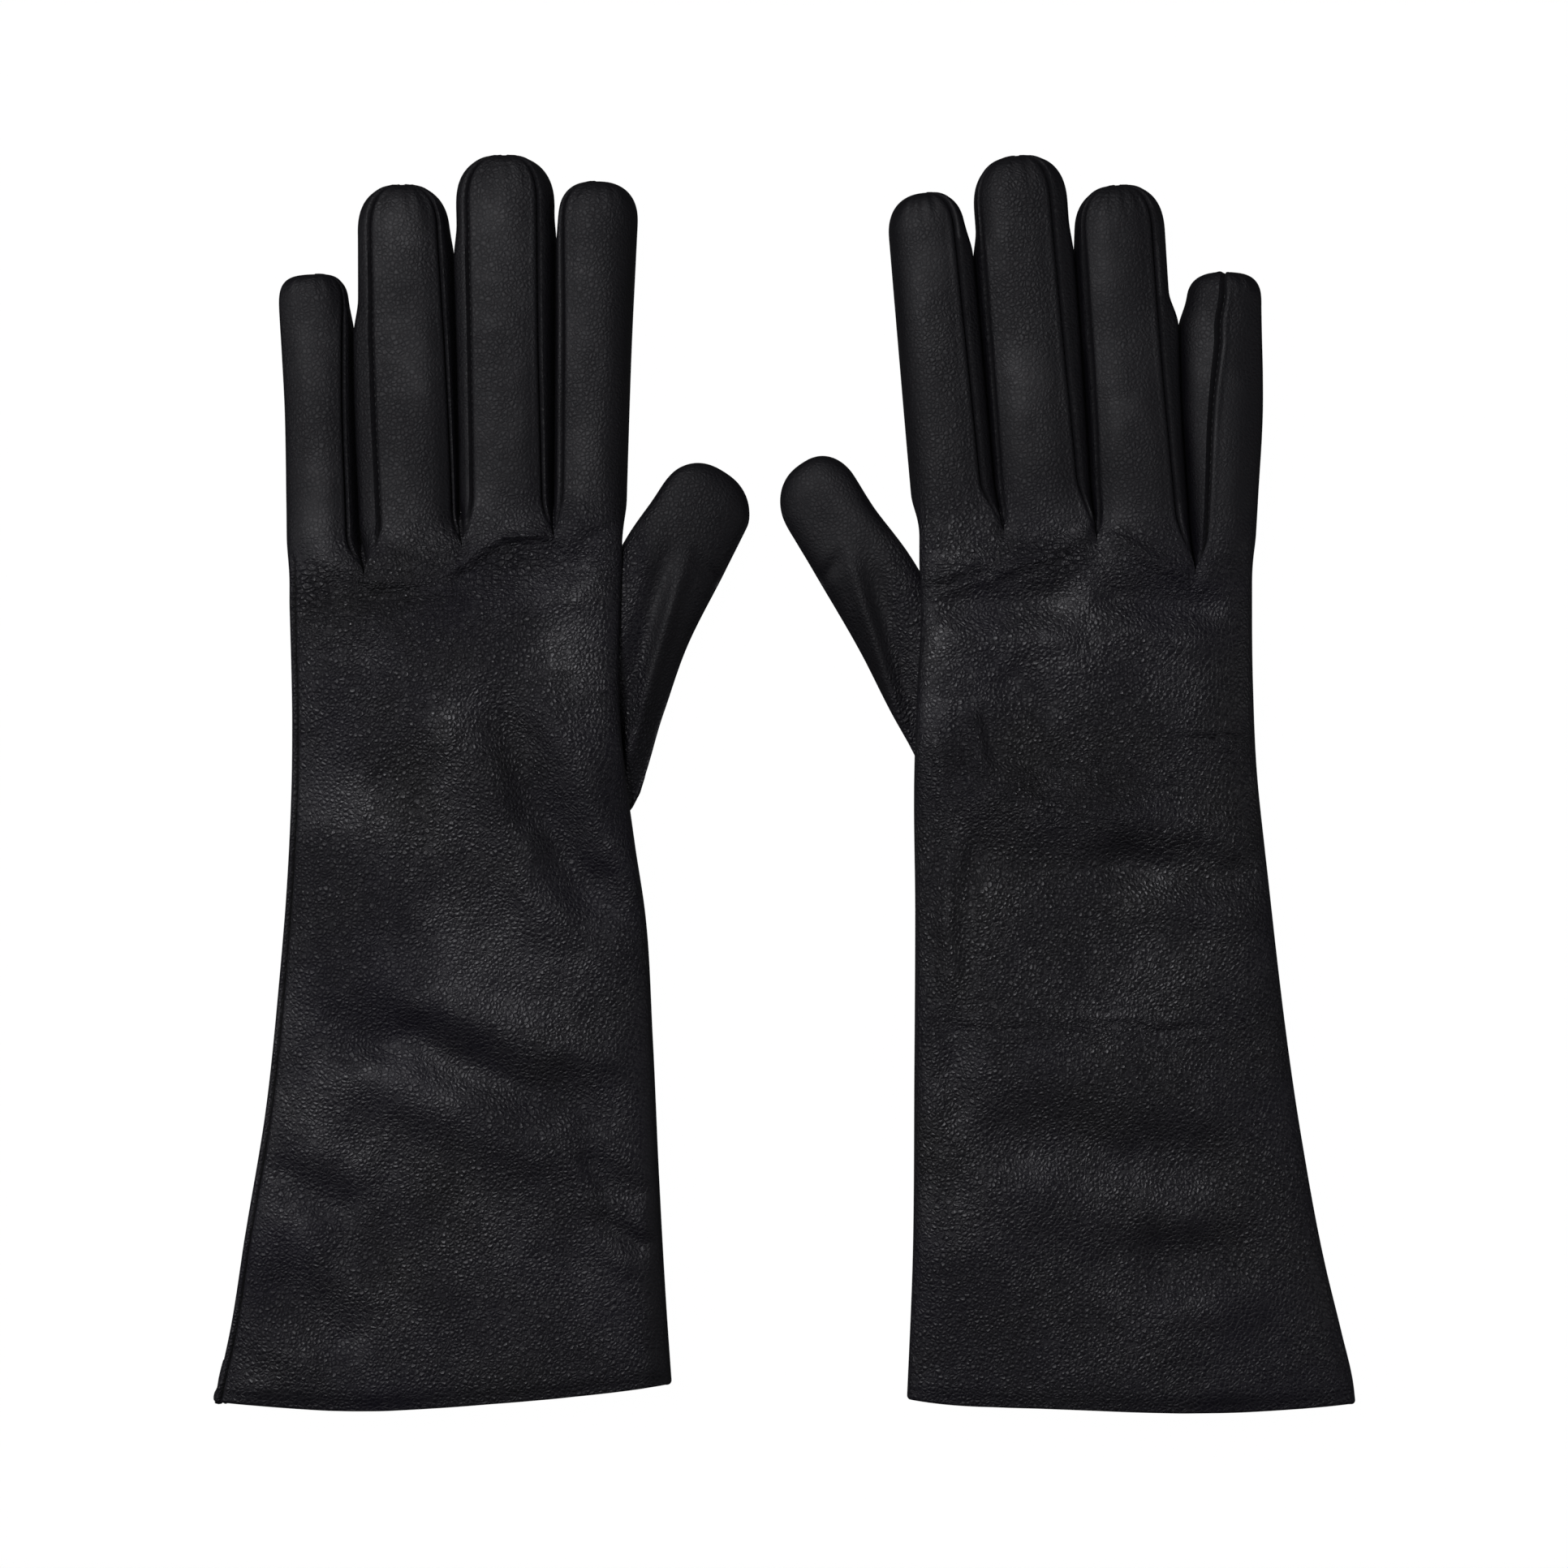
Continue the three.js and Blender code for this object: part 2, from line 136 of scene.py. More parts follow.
# How thick the flat glove is along its length, from the wrist.
THICKNESS_ALONG = [-134, -60, 0, 34, 60, 76]
THICKNESS = [13.0, 14.6, 16.0, 17.0, 15.4, 15.0]

FINGERS = ["little", "ring", "middle", "index"]


def finger_values(widths, aside, reach, inset, tip=TIP_SQUARENESS):
    """Widths from root to tip, a shift sideways and one ahead, how far the outer and the thumb side's
    seams are set in at root and tip, and how square the tip is."""
    return {"widths": widths, "aside": aside, "reach": reach, "inset": inset, "tip": tip}


# Each edge is (from the wrist along the arm, out from the wrist joint).
GLOVES = {
    "left": {
        "outward": -1,
        "little_edge": [(-134, 58.2), (-116, 54.1), (-93, 50.4), (-62, 45.3), (-31, 42.1),
                        (1, 39.7), (30, 38.9), (68, 39.9)],
        "thumb_edge": [(-134, 52.2), (-108, 50.4), (-77, 48.7), (-46, 47.3), (-15, 45.4),
                       (1, 43.0), (19, 40.7), (33, 39.5), (59, 39.7), (75, 40.4)],
        "hem": [(57, -132.0), (24, -133.8), (-12, -131.7), (-39, -129.2), (-51, -127.7)],
        "seam_inset": 1.4,
        "slits": [(21.3, 50.4), (-1.9, 57.0), (-23.8, 59.0)],
        "thumb_outer": [(-6, 11.0), (0, 12.6), (25, 12.3), (41, 12.0), (63, 14.4), (76, 15.6),
                        (84, 15.6)],
        "thumb_inner": [(-6, -10.0), (0, -11.0), (40, -12.0), (62, -10.6), (74, -7.4), (84, -4.5)],
        "thumb_tip": 84.5,
        "fingers": {
            "little": finger_values([17.0, 16.2, 15.5, 16.4], 0.0, 1.4, [(1.4, 2.0), (1.8, 0.8)], tip=3.3),
            "ring": finger_values([22.6, 23.0, 23.0, 21.8], 0.9, 1.6, [(4.5, 3.0), (0.8, 2.2)]),
            "middle": finger_values([21.8, 22.0, 22.3, 23.4], 0.9, 1.5, [(2.8, 2.6), (1.8, 3.6)]),
            "index": finger_values([16.8, 17.0, 17.4, 18.8], 0.2, 2.5, [(1.6, 0.9), (4.0, 4.0)]),
        },
    },
    "right": {
        "outward": 1,
        "little_edge": [(-134, 65.6), (-128, 64.9), (-116, 62.1), (-100, 58.2), (-69, 52.4),
                        (-38, 47.9), (-7, 44.3), (24, 41.3), (39, 40.7), (74, 40.6)],
        "thumb_edge": [(-134, 42.1), (-100, 40.7), (-54, 40.3), (-16, 40.1), (23, 40.3),
                       (38, 39.7), (57, 38.8), (68, 39.2)],
        "hem": [(64, -132.4), (51, -133.4), (32, -134.2), (-6, -133.3), (-34, -132.3), (-42, -131.4)],
        "seam_inset": 1.2,
        "slits": [(26.4, 50.8), (3.0, 59.7), (-19.1, 61.1)],
        "thumb_outer": [(-6, 5.5), (0, 6.0), (14, 6.8), (23, 8.1), (40, 9.9), (63, 13.6),
                        (76, 15.6), (87, 15.8)],
        "thumb_inner": [(-6, -10.0), (0, -11.0), (40, -12.0), (58, -9.4), (72, -5.4), (87, -2.0)],
        "thumb_tip": 87.5,
        "fingers": {
            "little": finger_values([14.6, 16.6, 18.6, 17.6], -0.3, 2.0, [(1.2, 2.0), (2.2, 8.6)], tip=3.0),
            "ring": finger_values([22.8, 21.8, 21.2, 21.4], 0.7, 0.8, [(2.4, 3.0), (1.4, 1.6)]),
            "middle": finger_values([21.8, 22.0, 22.0, 22.2], 0.6, 0.0, [(2.2, 4.0), (1.0, 1.0)]),
            "index": finger_values([19.4, 19.2, 18.8, 18.2], -0.4, -0.2, [(2.5, 2.5), (4.0, 4.0)]),
        },
    },
}


# -------- numbers and fields

def smoothstep(value):
    held = np.clip(value, 0.0, 1.0)
    return held * held * (3.0 - 2.0 * held)


def smooth_curve(points, at):
    """A curve through the points with no corners, as a drawn edge has."""
    xs = np.array([p[0] for p in points], float)
    ys = np.array([p[1] for p in points], float)
    order = np.argsort(xs)
    xs, ys = xs[order], ys[order]
    slopes = np.gradient(ys, xs)
    at = np.clip(np.asarray(at, float), xs[0], xs[-1])
    cell = np.clip(np.searchsorted(xs, at) - 1, 0, len(xs) - 2)
    span = xs[cell + 1] - xs[cell]
    t = (at - xs[cell]) / span
    rise = (2 * t ** 3 - 3 * t ** 2 + 1) * ys[cell] + (3 * t ** 2 - 2 * t ** 3) * ys[cell + 1]
    lean = (t ** 3 - 2 * t ** 2 + t) * slopes[cell] + (t ** 3 - t ** 2) * slopes[cell + 1]
    return rise + lean * span


lattice = np.random.default_rng(7).uniform(-1.0, 1.0, (64, 64, 4))


def soft_noise(x, y, size, layer):
    """Smooth bumps about one size across, between -1 and 1."""
    u, v = x / size + 100.0, y / size + 100.0
    i, j = np.floor(u).astype(int), np.floor(v).astype(int)
    s, t = smoothstep(u - i), smoothstep(v - j)
    grid = lattice[:, :, layer]
    low = grid[i % 64, j % 64] * (1 - s) + grid[(i + 1) % 64, j % 64] * s
    high = grid[i % 64, (j + 1) % 64] * (1 - s) + grid[(i + 1) % 64, (j + 1) % 64] * s
    return low * (1 - t) + high * t


def crease(x, y, start, end, width, depth):
    """A valley from start to end that fades at both ends, with a soft swell on each side.

    A negative depth turns it over into a ridge."""
    (x0, y0), (x1, y1) = start, end
    dx, dy = x1 - x0, y1 - y0
    length = math.hypot(dx, dy)
    along = ((x - x0) * dx + (y - y0) * dy) / length ** 2
    across = ((x - x0) * dy - (y - y0) * dx) / length
    across = across + 1.6 * soft_noise(x, y, 9.0, 1)
    fade = smoothstep(along / 0.25) * smoothstep((1 - along) / 0.25)
    r = across / width
    return fade * depth * (0.45 * np.exp(-((np.abs(r) - 1.9) / 0.9) ** 2) - np.exp(-r * r))


def oval_height(reach, squareness):
    return np.clip(1 - np.abs(reach) ** squareness, 0, 1) ** (1 / squareness)


def oval_side(reach_top, reach_bottom, squareness, count):
    """Points round the side of a squared oval from the top seam down to the bottom one."""
    top = math.acos(reach_top ** (squareness / 2))
    bottom = -math.acos(reach_bottom ** (squareness / 2))
    angles = np.linspace(top, bottom, count + 1)
    x = np.cos(angles) ** (2 / squareness)
    z = np.sign(np.sin(angles)) * np.abs(np.sin(angles)) ** (2 / squareness)
    return x, z


def oval_loop(top, bottom, squareness):
    """Reach and level once round a squared oval: over the top, down a side, underneath and up again."""
    side_x, side_z = oval_side(top[-1], bottom[0], squareness, SIDE_COLUMNS)
    back_x, back_z = oval_side(-top[0], -bottom[-1], squareness, SIDE_COLUMNS)
    top, bottom = top[:-1], bottom[:-1]
    reach = np.concatenate([top, side_x[:-1], bottom, -back_x[:0:-1]])
    over, under = oval_height(top, squareness), -oval_height(bottom, squareness)
    return reach, np.concatenate([over, side_z[:-1], under, back_z[:0:-1]])


def panel_steps(count):
    """Columns across a panel, closer together at its seams."""
    even = np.linspace(0, 1, count + 1)
    return 0.45 * even + 0.55 * (0.5 - 0.5 * np.cos(math.pi * even))


def across_lanes(bounds):
    """The columns' shares across, with the same steps from each bound to the next."""
    steps = panel_steps(PANEL_COLUMNS)[:-1]
    lanes = [low + (high - low) * steps for low, high in zip(bounds, bounds[1:])]
    return np.concatenate(lanes + [bounds[-1:]])


def rounding_off(end, radius, rows):
    """Where the rows of a rounded tip lie, closer together towards its end."""
    return end + radius * np.sin(np.linspace(0, 1, rows + 1)[1:] * TIP_ROUNDED)


# -------- meshes

def grid_normals(grid, flip):
    across = np.roll(grid, -1, axis=1) - np.roll(grid, 1, axis=1)
    along = np.gradient(grid, axis=0)
    normal = np.cross(across, along)
    length = np.linalg.norm(normal, axis=2, keepdims=True)
    normal = normal / np.maximum(length, 1e-9)
    return -normal if flip else normal


def bare_mesh(name, vertices, faces, marks=None):
    mesh = bpy.data.meshes.new(name)
    mesh.from_pydata((np.asarray(vertices) * MM).tolist(), [], faces)
    mesh.update()
    for mark, values in (marks or {}).items():
        mesh.attributes.new(mark, "FLOAT", "POINT").data.foreach_set("value", values)
    piece = bpy.data.objects.new(name, mesh)
    scene.collection.objects.link(piece)
    return piece


def only(piece):
    bpy.ops.object.select_all(action="DESELECT")
    piece.select_set(True)
    bpy.context.view_layer.objects.active = piece


def thicken(piece, thickness):
    only(piece)
    bpy.ops.object.modifier_add(type="SOLIDIFY")
    wall = piece.modifiers[-1]
    wall.thickness = thickness * MM
    wall.offset = -1
    bpy.ops.object.modifier_apply(modifier=wall.name)
    bpy.ops.object.shade_smooth_by_angle(angle=math.radians(48))


def panel(name, grid, flip, kept=None, cap=False, thickness=LEATHER, fields=None, seams=None):
    """One cut piece of a lofted tube: the grid's faces that are kept, given the leather's thickness."""
    rows, columns = grid.shape[:2]
    if kept is None:
        kept = np.ones((rows - 1, columns), bool)
    i, j = np.nonzero(kept)
    after = (j + 1) % columns
    quads = np.stack([i * columns + j, (i + 1) * columns + j, (i + 1) * columns + after,
                      i * columns + after], axis=1)
    if not flip:
        quads = quads[:, ::-1]
    points = grid.reshape(-1, 3)
    faces = quads.tolist()
    if cap:
        last = (rows - 1) * columns
        tip = len(points)
        points = np.vstack([points, grid[-1].mean(axis=0)])
        for k in range(columns):
            triangle = [last + k, tip, last + (k + 1) % columns]
            faces.append(triangle if flip else triangle[::-1])
    used = np.unique(np.concatenate([np.asarray(face) for face in faces]))
    place = np.full(len(points), -1)
    place[used] = np.arange(len(used))
    faces = [[int(place[v]) for v in face] for face in faces]
    points = points[used]
    marks = {mark: field(points[:, 0], points[:, 1]) for mark, field in (fields or {}).items()}
    if seams is not None:
        marks["seam"] = np.append(seams.reshape(-1), 0.0)[used]
    piece = bare_mesh(name, points, faces, marks)
    thicken(piece, thickness)
    return piece


# Along a stitch: the share of its length, the rise out of the seam, and the share of its radius.
STITCH_STATIONS = [(0.0, -0.04, 0.5), (0.2, 0.10, 1.0), (0.5, 0.14, 1.0), (0.8, 0.10, 1.0),
                   (1.0, -0.04, 0.5)]


def stitches(name, turns):
    """Short stitches of thread, each lying along the bottom of its seam."""
    points, faces = [], []
    sides = 6
    for start, end, out in turns:
        run = (end - start) / max(np.linalg.norm(end - start), 1e-9)
        across = np.cross(run, out)
        across = across / max(np.linalg.norm(across), 1e-9)
        up = np.cross(across, run)
        first = len(points)
        for share, rise, size in STITCH_STATIONS:
            centre = start + (end - start) * share + out * rise
            for k in range(sides):
                turn = 2 * math.pi * k / sides
                spoke = across * math.cos(turn) + up * math.sin(turn)
                points.append(centre + THREAD_RADIUS * size * spoke)
        for ring in range(len(STITCH_STATIONS) - 1):
            for k in range(sides):
                a, b = first + ring * sides + k, first + ring * sides + (k + 1) % sides
                faces.append([a, b, b + sides, a + sides])
        faces.append([first + k for k in reversed(range(sides))])
        last = first + (len(STITCH_STATIONS) - 1) * sides
        faces.append([last + k for k in range(sides)])
    piece = bare_mesh(name, np.array(points), faces)
    only(piece)
    bpy.ops.object.mode_set(mode="EDIT")
    bpy.ops.mesh.select_all(action="SELECT")
    bpy.ops.mesh.normals_make_consistent(inside=False)
    bpy.ops.object.mode_set(mode="OBJECT")
    bpy.ops.object.shade_smooth()
    return piece


def seam_turns(grid, normals, column, first_row, last_row):
    """Both ends of each stitch of a seam, one every stitch step along the column."""
    line, out = grid[:, column], normals[:, column]
    run = np.concatenate([[0], np.cumsum(np.linalg.norm(np.diff(line, axis=0), axis=1))])
    turns = []
    for at in np.arange(run[first_row] + 1.0, run[last_row] - STITCH_LENGTH, STITCH_STEP):
        ends = [[np.interp(d, run, line[:, k]) for k in range(3)] for d in (at, at + STITCH_LENGTH)]
        turns.append((np.array(ends[0]), np.array(ends[1]), out[int(np.searchsorted(run, at))]))
    return turns


def seam_distance(grid, column):
    """How far round its row each point near a column lies from it."""
    columns = grid.shape[1]
    spacing = np.linalg.norm(np.roll(grid, -1, axis=1) - grid, axis=2)
    distance = np.full(grid.shape[:2], BEYOND_SEARCH)
    distance[:, column] = 0.0
    for step in (1, -1):
        run = np.zeros(len(grid))
        for k in range(SEAM_SEARCH):
            crossed = column + k if step > 0 else column - k - 1
            run = run + spacing[:, crossed % columns]
            distance[:, (column + step * (k + 1)) % columns] = run
    return distance


def sew(grid, flip, lines):
    """Draws the leather in along each (column, strength) and rolls it up on both sides.

    It gives back how deep in a seam each point lies, from 0 to 1."""
    push, marks = np.zeros(grid.shape[:2]), np.zeros(grid.shape[:2])
    for column, strength in lines:
        distance = seam_distance(grid, column)
        shape = -SEAM_DEPTH * np.exp(-(distance / SEAM_WIDTH) ** 2)
        shape = shape + SEAM_ROLL * np.exp(-((distance - ROLL_BESIDE) / 0.7) ** 2)
        push = push + shape * strength[:, None]
        marks = np.maximum(marks, np.exp(-(distance / SEAM_SHADE_WIDTH) ** 2) * strength[:, None])
    grid += grid_normals(grid, flip) * push[..., None]
    return marks


# -------- one glove

def hinge(name):
    """Where a joint is, and which way the piece that it bends points."""
    joint = joints[name]
    axis = joint["axis"]
    return np.array(joint["pos_m"]) / MM, np.array([axis[1], -axis[0], 0.0])


class Glove:
    """The numbers of one glove, and the grids of points that its leather is made from."""

    def __init__(self, side):
        self.side = side
        self.values = GLOVES[side]
        self.outward = self.values["outward"]
        self.flip = self.outward > 0
        self.wrist, _ = hinge(f"{side}_wrist_bend")
        self.knuckles = {finger: hinge(f"{side}_{finger}_bend") for finger in FINGERS}
        self.fields = {"wrinkle": self.wrinkle, "taut_and_shaded": self.taut_and_shaded}
        self.slit_shares = self.lanes()

    def node(self, name):
        return f"{self.side}_{name}"

    def edge_x(self, edge, along):
        out = smooth_curve(self.values[edge], along)
        sign = self.outward if edge == "little_edge" else -self.outward
        return self.wrist[0] + sign * out

    def edges(self, y):
        """Where the glove's little finger edge and its thumb edge are."""
        along = y - self.wrist[1]
        return self.edge_x("little_edge", along), self.edge_x("thumb_edge", along)

    def share_to_x(self, share, y):
        little, thumb = self.edges(y)
        return little + (thumb - little) * share

    def out_and_along(self, x, y):
        """The same place from the wrist joint: out to the little finger, and along the arm."""
        return (x - self.wrist[0]) * self.outward, y - self.wrist[1]

    def front(self, x):
        """The line across the hand where its leather becomes the fingers'."""
        at = [self.knuckles[finger][0] for finger in FINGERS]
        xs = np.array([p[0] for p in at])
        ys = np.array([p[1] for p in at]) - KNUCKLE_SETBACK
        order = np.argsort(xs)
        return np.interp(x, xs[order], ys[order])

    def hem(self, x):
        across = (x - self.wrist[0]) * self.outward
        return self.wrist[1] + smooth_curve(self.values["hem"], across)

    def lanes(self):
        """How far across the hand, from 0 to 1, the slits between its fingers lie."""
        shares = []
        for out, _ in self.values["slits"]:
            x = self.wrist[0] + out * self.outward
            little, thumb = self.edges(self.front(x))
            shares.append(float((x - little) / (thumb - little)))
        return shares

    def relief(self, x, y):
        """The soft swells, folds and wrinkles of the worn leather, as heights."""
        wx, wy = self.out_and_along(x, y)
        height = 1.05 * soft_noise(x + 3 * y / 40, y, 36.0, 0) + 0.34 * soft_noise(x, y, 16.0, 1)
        height = height + 0.11 * soft_noise(x, y, 5.0, 2)
        for out, slit_y in self.values["slits"]:
            slit_x = self.wrist[0] + out * self.outward
            run = smoothstep((y - (slit_y - 6.0)) / 6.0) * smoothstep((slit_y + 6.0 - y) / 6.0)
            height = height - 0.9 * run * np.exp(-((x - slit_x) / 1.7) ** 2)
        gathers = 0.13 * soft_noise(x * 0.5, y, 2.6, 3) + 0.08 * soft_noise(x * 0.7, y, 1.7, 1)
        height = height + self.wrinkle(x, y) * gathers
        for start, end, width, depth in CREASES[self.side]:
            height = height + FOLD_STRENGTH * crease(wx, wy, start, end, width, depth)
        return height

    def wrinkle(self, x, y):
        """Where the fine wrinkles gather: under the fingers and across the wrist."""
        wx, wy = self.out_and_along(x, y)
        amount = 0.0 * wx
        for (cx, cy), (rx, ry), strength in WRINKLES[self.side]:
            spread = ((wx - cx) / rx) ** 2 + ((wy - cy) / ry) ** 2
            amount = amount + strength * np.exp(-spread)
        patchy = 0.65 + 0.5 * soft_noise(x, y, 7.0, 3)
        return np.clip(amount * patchy, 0.0, 1.0)

    def taut_and_shaded(self, x, y):
        """How smooth the leather is, and how far painted shade darkens it: not on the hand, and fully on the
        fingers and thumb.
        """
        beyond = (x - self.wrist[0]) * -self.outward - 44.0
        return np.maximum(smoothstep((y - self.front(x)) / 26.0), smoothstep(beyond / 4.0))

    def thumb_lift(self, x, y):
        """How far the thumb, lying underneath, raises the hand's thumb edge."""
        wx, wy = (x - self.wrist[0]) * -self.outward, y - self.wrist[1]
        run = smoothstep((wy - 4.0) / 22.0) * smoothstep((90.0 - wy) / 22.0)
        return 6.5 * run * smoothstep((wx - 16.0) / 22.0)

    def hand_loop(self, start_y, line, reach, t):
        """One row round the hand or cuff, a share t of the way from start_y to a line across it.

        The line is about the reach away."""
        def row_y(share):
            line_y = line(self.share_to_x(share, start_y + reach * t))
            return start_y + (line_y - start_y) * t

        little, thumb = self.edges(float(row_y(0.5)))
        width = abs(float(thumb) - float(little))
        last = [1 - FOLD_INSET / width]
        top = across_lanes([self.values["seam_inset"] / width] + self.slit_shares + last)
        bottom = across_lanes([FOLD_INSET * 0.6 / width] + self.slit_shares + last)[::-1]
        around, level = oval_loop(2 * top - 1, 2 * bottom - 1, HAND_SQUARENESS)
        share = 0.5 + 0.5 * around
        y = row_y(share)
        x = self.share_to_x(share, y)
        thick = smooth_curve(list(zip(THICKNESS_ALONG, THICKNESS)), y - self.wrist[1])
        z = thick / 2 * (1 + level)
        z = z + self.thumb_lift(x, y) * (1 - 0.75 * z / thick)
        return np.stack([x, y, z], axis=1)

    def raise_relief(self, grid):
        """Lifts or sinks the upper leather by the relief, and leaves what rests on the floor."""
        upper = smoothstep((grid[..., 2] - 4.0) / 8.0)
        grid[..., 2] = grid[..., 2] + self.relief(grid[..., 0], grid[..., 1]) * upper

    def build_trank(self):
        """The leather's grids of points, and how deep in a seam each point lies."""
        join_y = self.wrist[1] - CUFF_TO_WRIST
        cuff = []
        for t in np.linspace(0, 1, CUFF_ROWS + 1):
            loop = self.hand_loop(join_y, self.hem, -CUFF_REACH, t)
            drawn_in = MOUTH_ROUNDING * math.exp(-((1 - t) * CUFF_REACH / MOUTH_RUN) ** 2)
            loop[:, 2] += (loop[:, 2].mean() - loop[:, 2]) * drawn_in
            cuff.append(loop)
        hand = [self.hand_loop(join_y, self.front, HAND_REACH, t) for t in np.linspace(0, 1, HAND_ROWS + 1)]
        self.cuff, self.hand = np.array(cuff), np.array(hand)
        self.fingers = {finger: self.finger_grid(finger, self.hand[-1]) for finger in FINGERS}
        for grid in [self.cuff, self.hand] + list(self.fingers.values()):
            self.raise_relief(grid)
        n, s = PANEL_COLUMNS, SIDE_COLUMNS
        seam_on_back = self.side == "left"
        self.seam_column = 0 if seam_on_back else 8 * n + s
        self.marks = {}
        for name, grid, flip in (("cuff", self.cuff, not self.flip), ("hand", self.hand, self.flip)):
            self.marks[name] = sew(grid, flip, [(self.seam_column, np.ones(len(grid)))])
        self.stitched = {}
        for finger, grid in self.fingers.items():
            thumb_side, outer_side = [n, n + s], [0, 2 * n + s]
            ends = {"index": outer_side, "little": thumb_side}
            stitched = ends.get(finger, thumb_side + outer_side)
            opening = smoothstep(np.linspace(-1.2, 16, len(grid)))
            lines = [(column, opening) for column in stitched]
            if finger == "little" and seam_on_back:
                lines.append((0, smoothstep(1.25 - np.linspace(0, 8, len(grid)))))
            elif finger == "little":
                lines.append((2 * n + s, np.ones(len(grid))))
                stitched = stitched + [2 * n + s]
            self.marks[finger] = sew(grid, self.flip, lines)
            self.stitched[finger] = stitched

    def finger_reach(self, finger):
        """Where the finger's tip starts to round off, from its knuckle, and the tip's radius."""
        at, ahead = self.knuckles[finger]
        values = self.values["fingers"][finger]
        _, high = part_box(self.node(f"{finger}_finger"))
        length = (high[1] / MM + values["reach"] - at[1]) / ahead[1]
        radius = min(values["widths"]) * 0.56
        return length - radius, radius

    def half_width(self, finger, share):
        widths = self.values["fingers"][finger]["widths"]
        return smooth_curve(list(zip([0, 0.3, 0.6, 1.0], widths)), share) / 2

    def gusset_growth(self, finger, stations):
        """How far the strips between the fingers belly out, so that neighbours lie side by side."""
        at, ahead = self.knuckles[finger]
        lane = FINGERS.index(finger)
        own_end, _ = self.finger_reach(finger)
        values = self.values["fingers"]
        growth = []
        for step in (-1, 1):
            if not 0 <= lane + step < len(FINGERS):
                growth.append(np.zeros(len(stations)))
                continue
            other = FINGERS[lane + step]
            other_at, other_ahead = self.knuckles[other]
            other_end, _ = self.finger_reach(other)
            y = at[1] + ahead[1] * stations
            other_d = (y - other_at[1]) / other_ahead[1]
            mine = at[0] + ahead[0] * stations + values[finger]["aside"]
            theirs = other_at[0] + other_ahead[0] * other_d + values[other]["aside"]
            room = np.abs(theirs - mine) - self.half_width(finger, stations / own_end)
            room = room - self.half_width(other, other_d / other_end) - FINGER_GAP
            near = smoothstep((other_end + 3.0 - other_d) / 9.0)
            near = near * smoothstep((own_end + 3.0 - stations) / 9.0)
            growth.append(np.clip(room / 2, -0.6, GUSSET_SPREAD) * near)
        return growth

    def crotches(self, lane):
        """The y where each column of a finger parts from the hand."""
        n, s = PANEL_COLUMNS, SIDE_COLUMNS
        slits = [None] + [y for _, y in self.values["slits"]] + [None]
        outer_y = slits[lane] or slits[lane + 1] - 1.5
        thumb_y = slits[lane + 1] or slits[lane] - 1.0
        over, under = np.linspace(0, 1, n + 1)[:-1], np.linspace(1, 0, n + 1)[:-1]
        place = np.concatenate([over, np.ones(s), under, np.zeros(s)])
        return outer_y + (thumb_y - outer_y) * place

    def finger_grid(self, finger, hand_row):
        lane = FINGERS.index(finger)
        values = self.values["fingers"][finger]
        at, ahead = self.knuckles[finger]
        body_end, radius = self.finger_reach(finger)
        tip = values["tip"]
        across = np.array([ahead[1], -ahead[0], 0.0]) * -self.outward
        root, crotch = self.root_loop(finger, hand_row), self.crotches(lane)
        straight = np.linspace(-KNUCKLE_SETBACK, body_end, FINGER_ROWS - TIP_ROWS + 1)
        stations = np.concatenate([straight, rounding_off(body_end, radius, TIP_ROWS)])
        rows = []
        steps = panel_steps(PANEL_COLUMNS)
        grow_out, grow_in = self.gusset_growth(finger, stations)
        for d, more_out, more_in in zip(stations, grow_out, grow_in):
            share = np.clip(d / body_end, 0, 1)
            half = self.half_width(finger, share) + (more_out + more_in) / 2
            sideways = (more_in - more_out) / 2
            tall = 7.5 - 0.9 * smoothstep(share)
            outer_inset = np.interp(share, [0, 1], values["inset"][0]) + more_out
            thumb_inset = np.interp(share, [0, 1], values["inset"][1]) + more_in
            past = (d - body_end) / radius
            shrink = max(1 - max(past, 0.0) ** tip, 0.0) ** (1 / tip)
            top_a, top_b = (np.clip(1 - inset / half, 0.05, 0.98) for inset in (outer_inset, thumb_inset))
            low = 1 - 1.8 / half
            top = -top_a + (top_a + top_b) * steps
            reach, level = oval_loop(top, low - 2 * low * steps, FINGER_SQUARENESS)
            row = np.array([1.0, 1.0, 0.0]) * (at + ahead * d)
            row = row + across[None, :] * ((reach * half + sideways) * shrink)[:, None]
            row[:, 0] += values["aside"]
            row[:, 2] = tall * (1 + 0.12 * (1 - shrink)) + level * tall * (shrink ** 0.8)
            row[:, 2] -= GUSSET_TILT * np.sign(reach) * np.abs(reach) ** 3 * (1 - np.abs(level)) * shrink
            gather = smoothstep(past) * smoothstep((1.02 - past) / 0.3)
            row[:, 2] += PUCKER * gather * np.sin(reach * 17.0 + lane) * level
            ahead_of_front = root + np.array([0.0, d + KNUCKLE_SETBACK, 0.0])
            mix = smoothstep((ahead_of_front[:, 1] - (crotch - 1.5)) / CROTCH_RUN)[:, None]
            rows.append(ahead_of_front * (1 - mix) + row * mix)
        return np.array(rows)

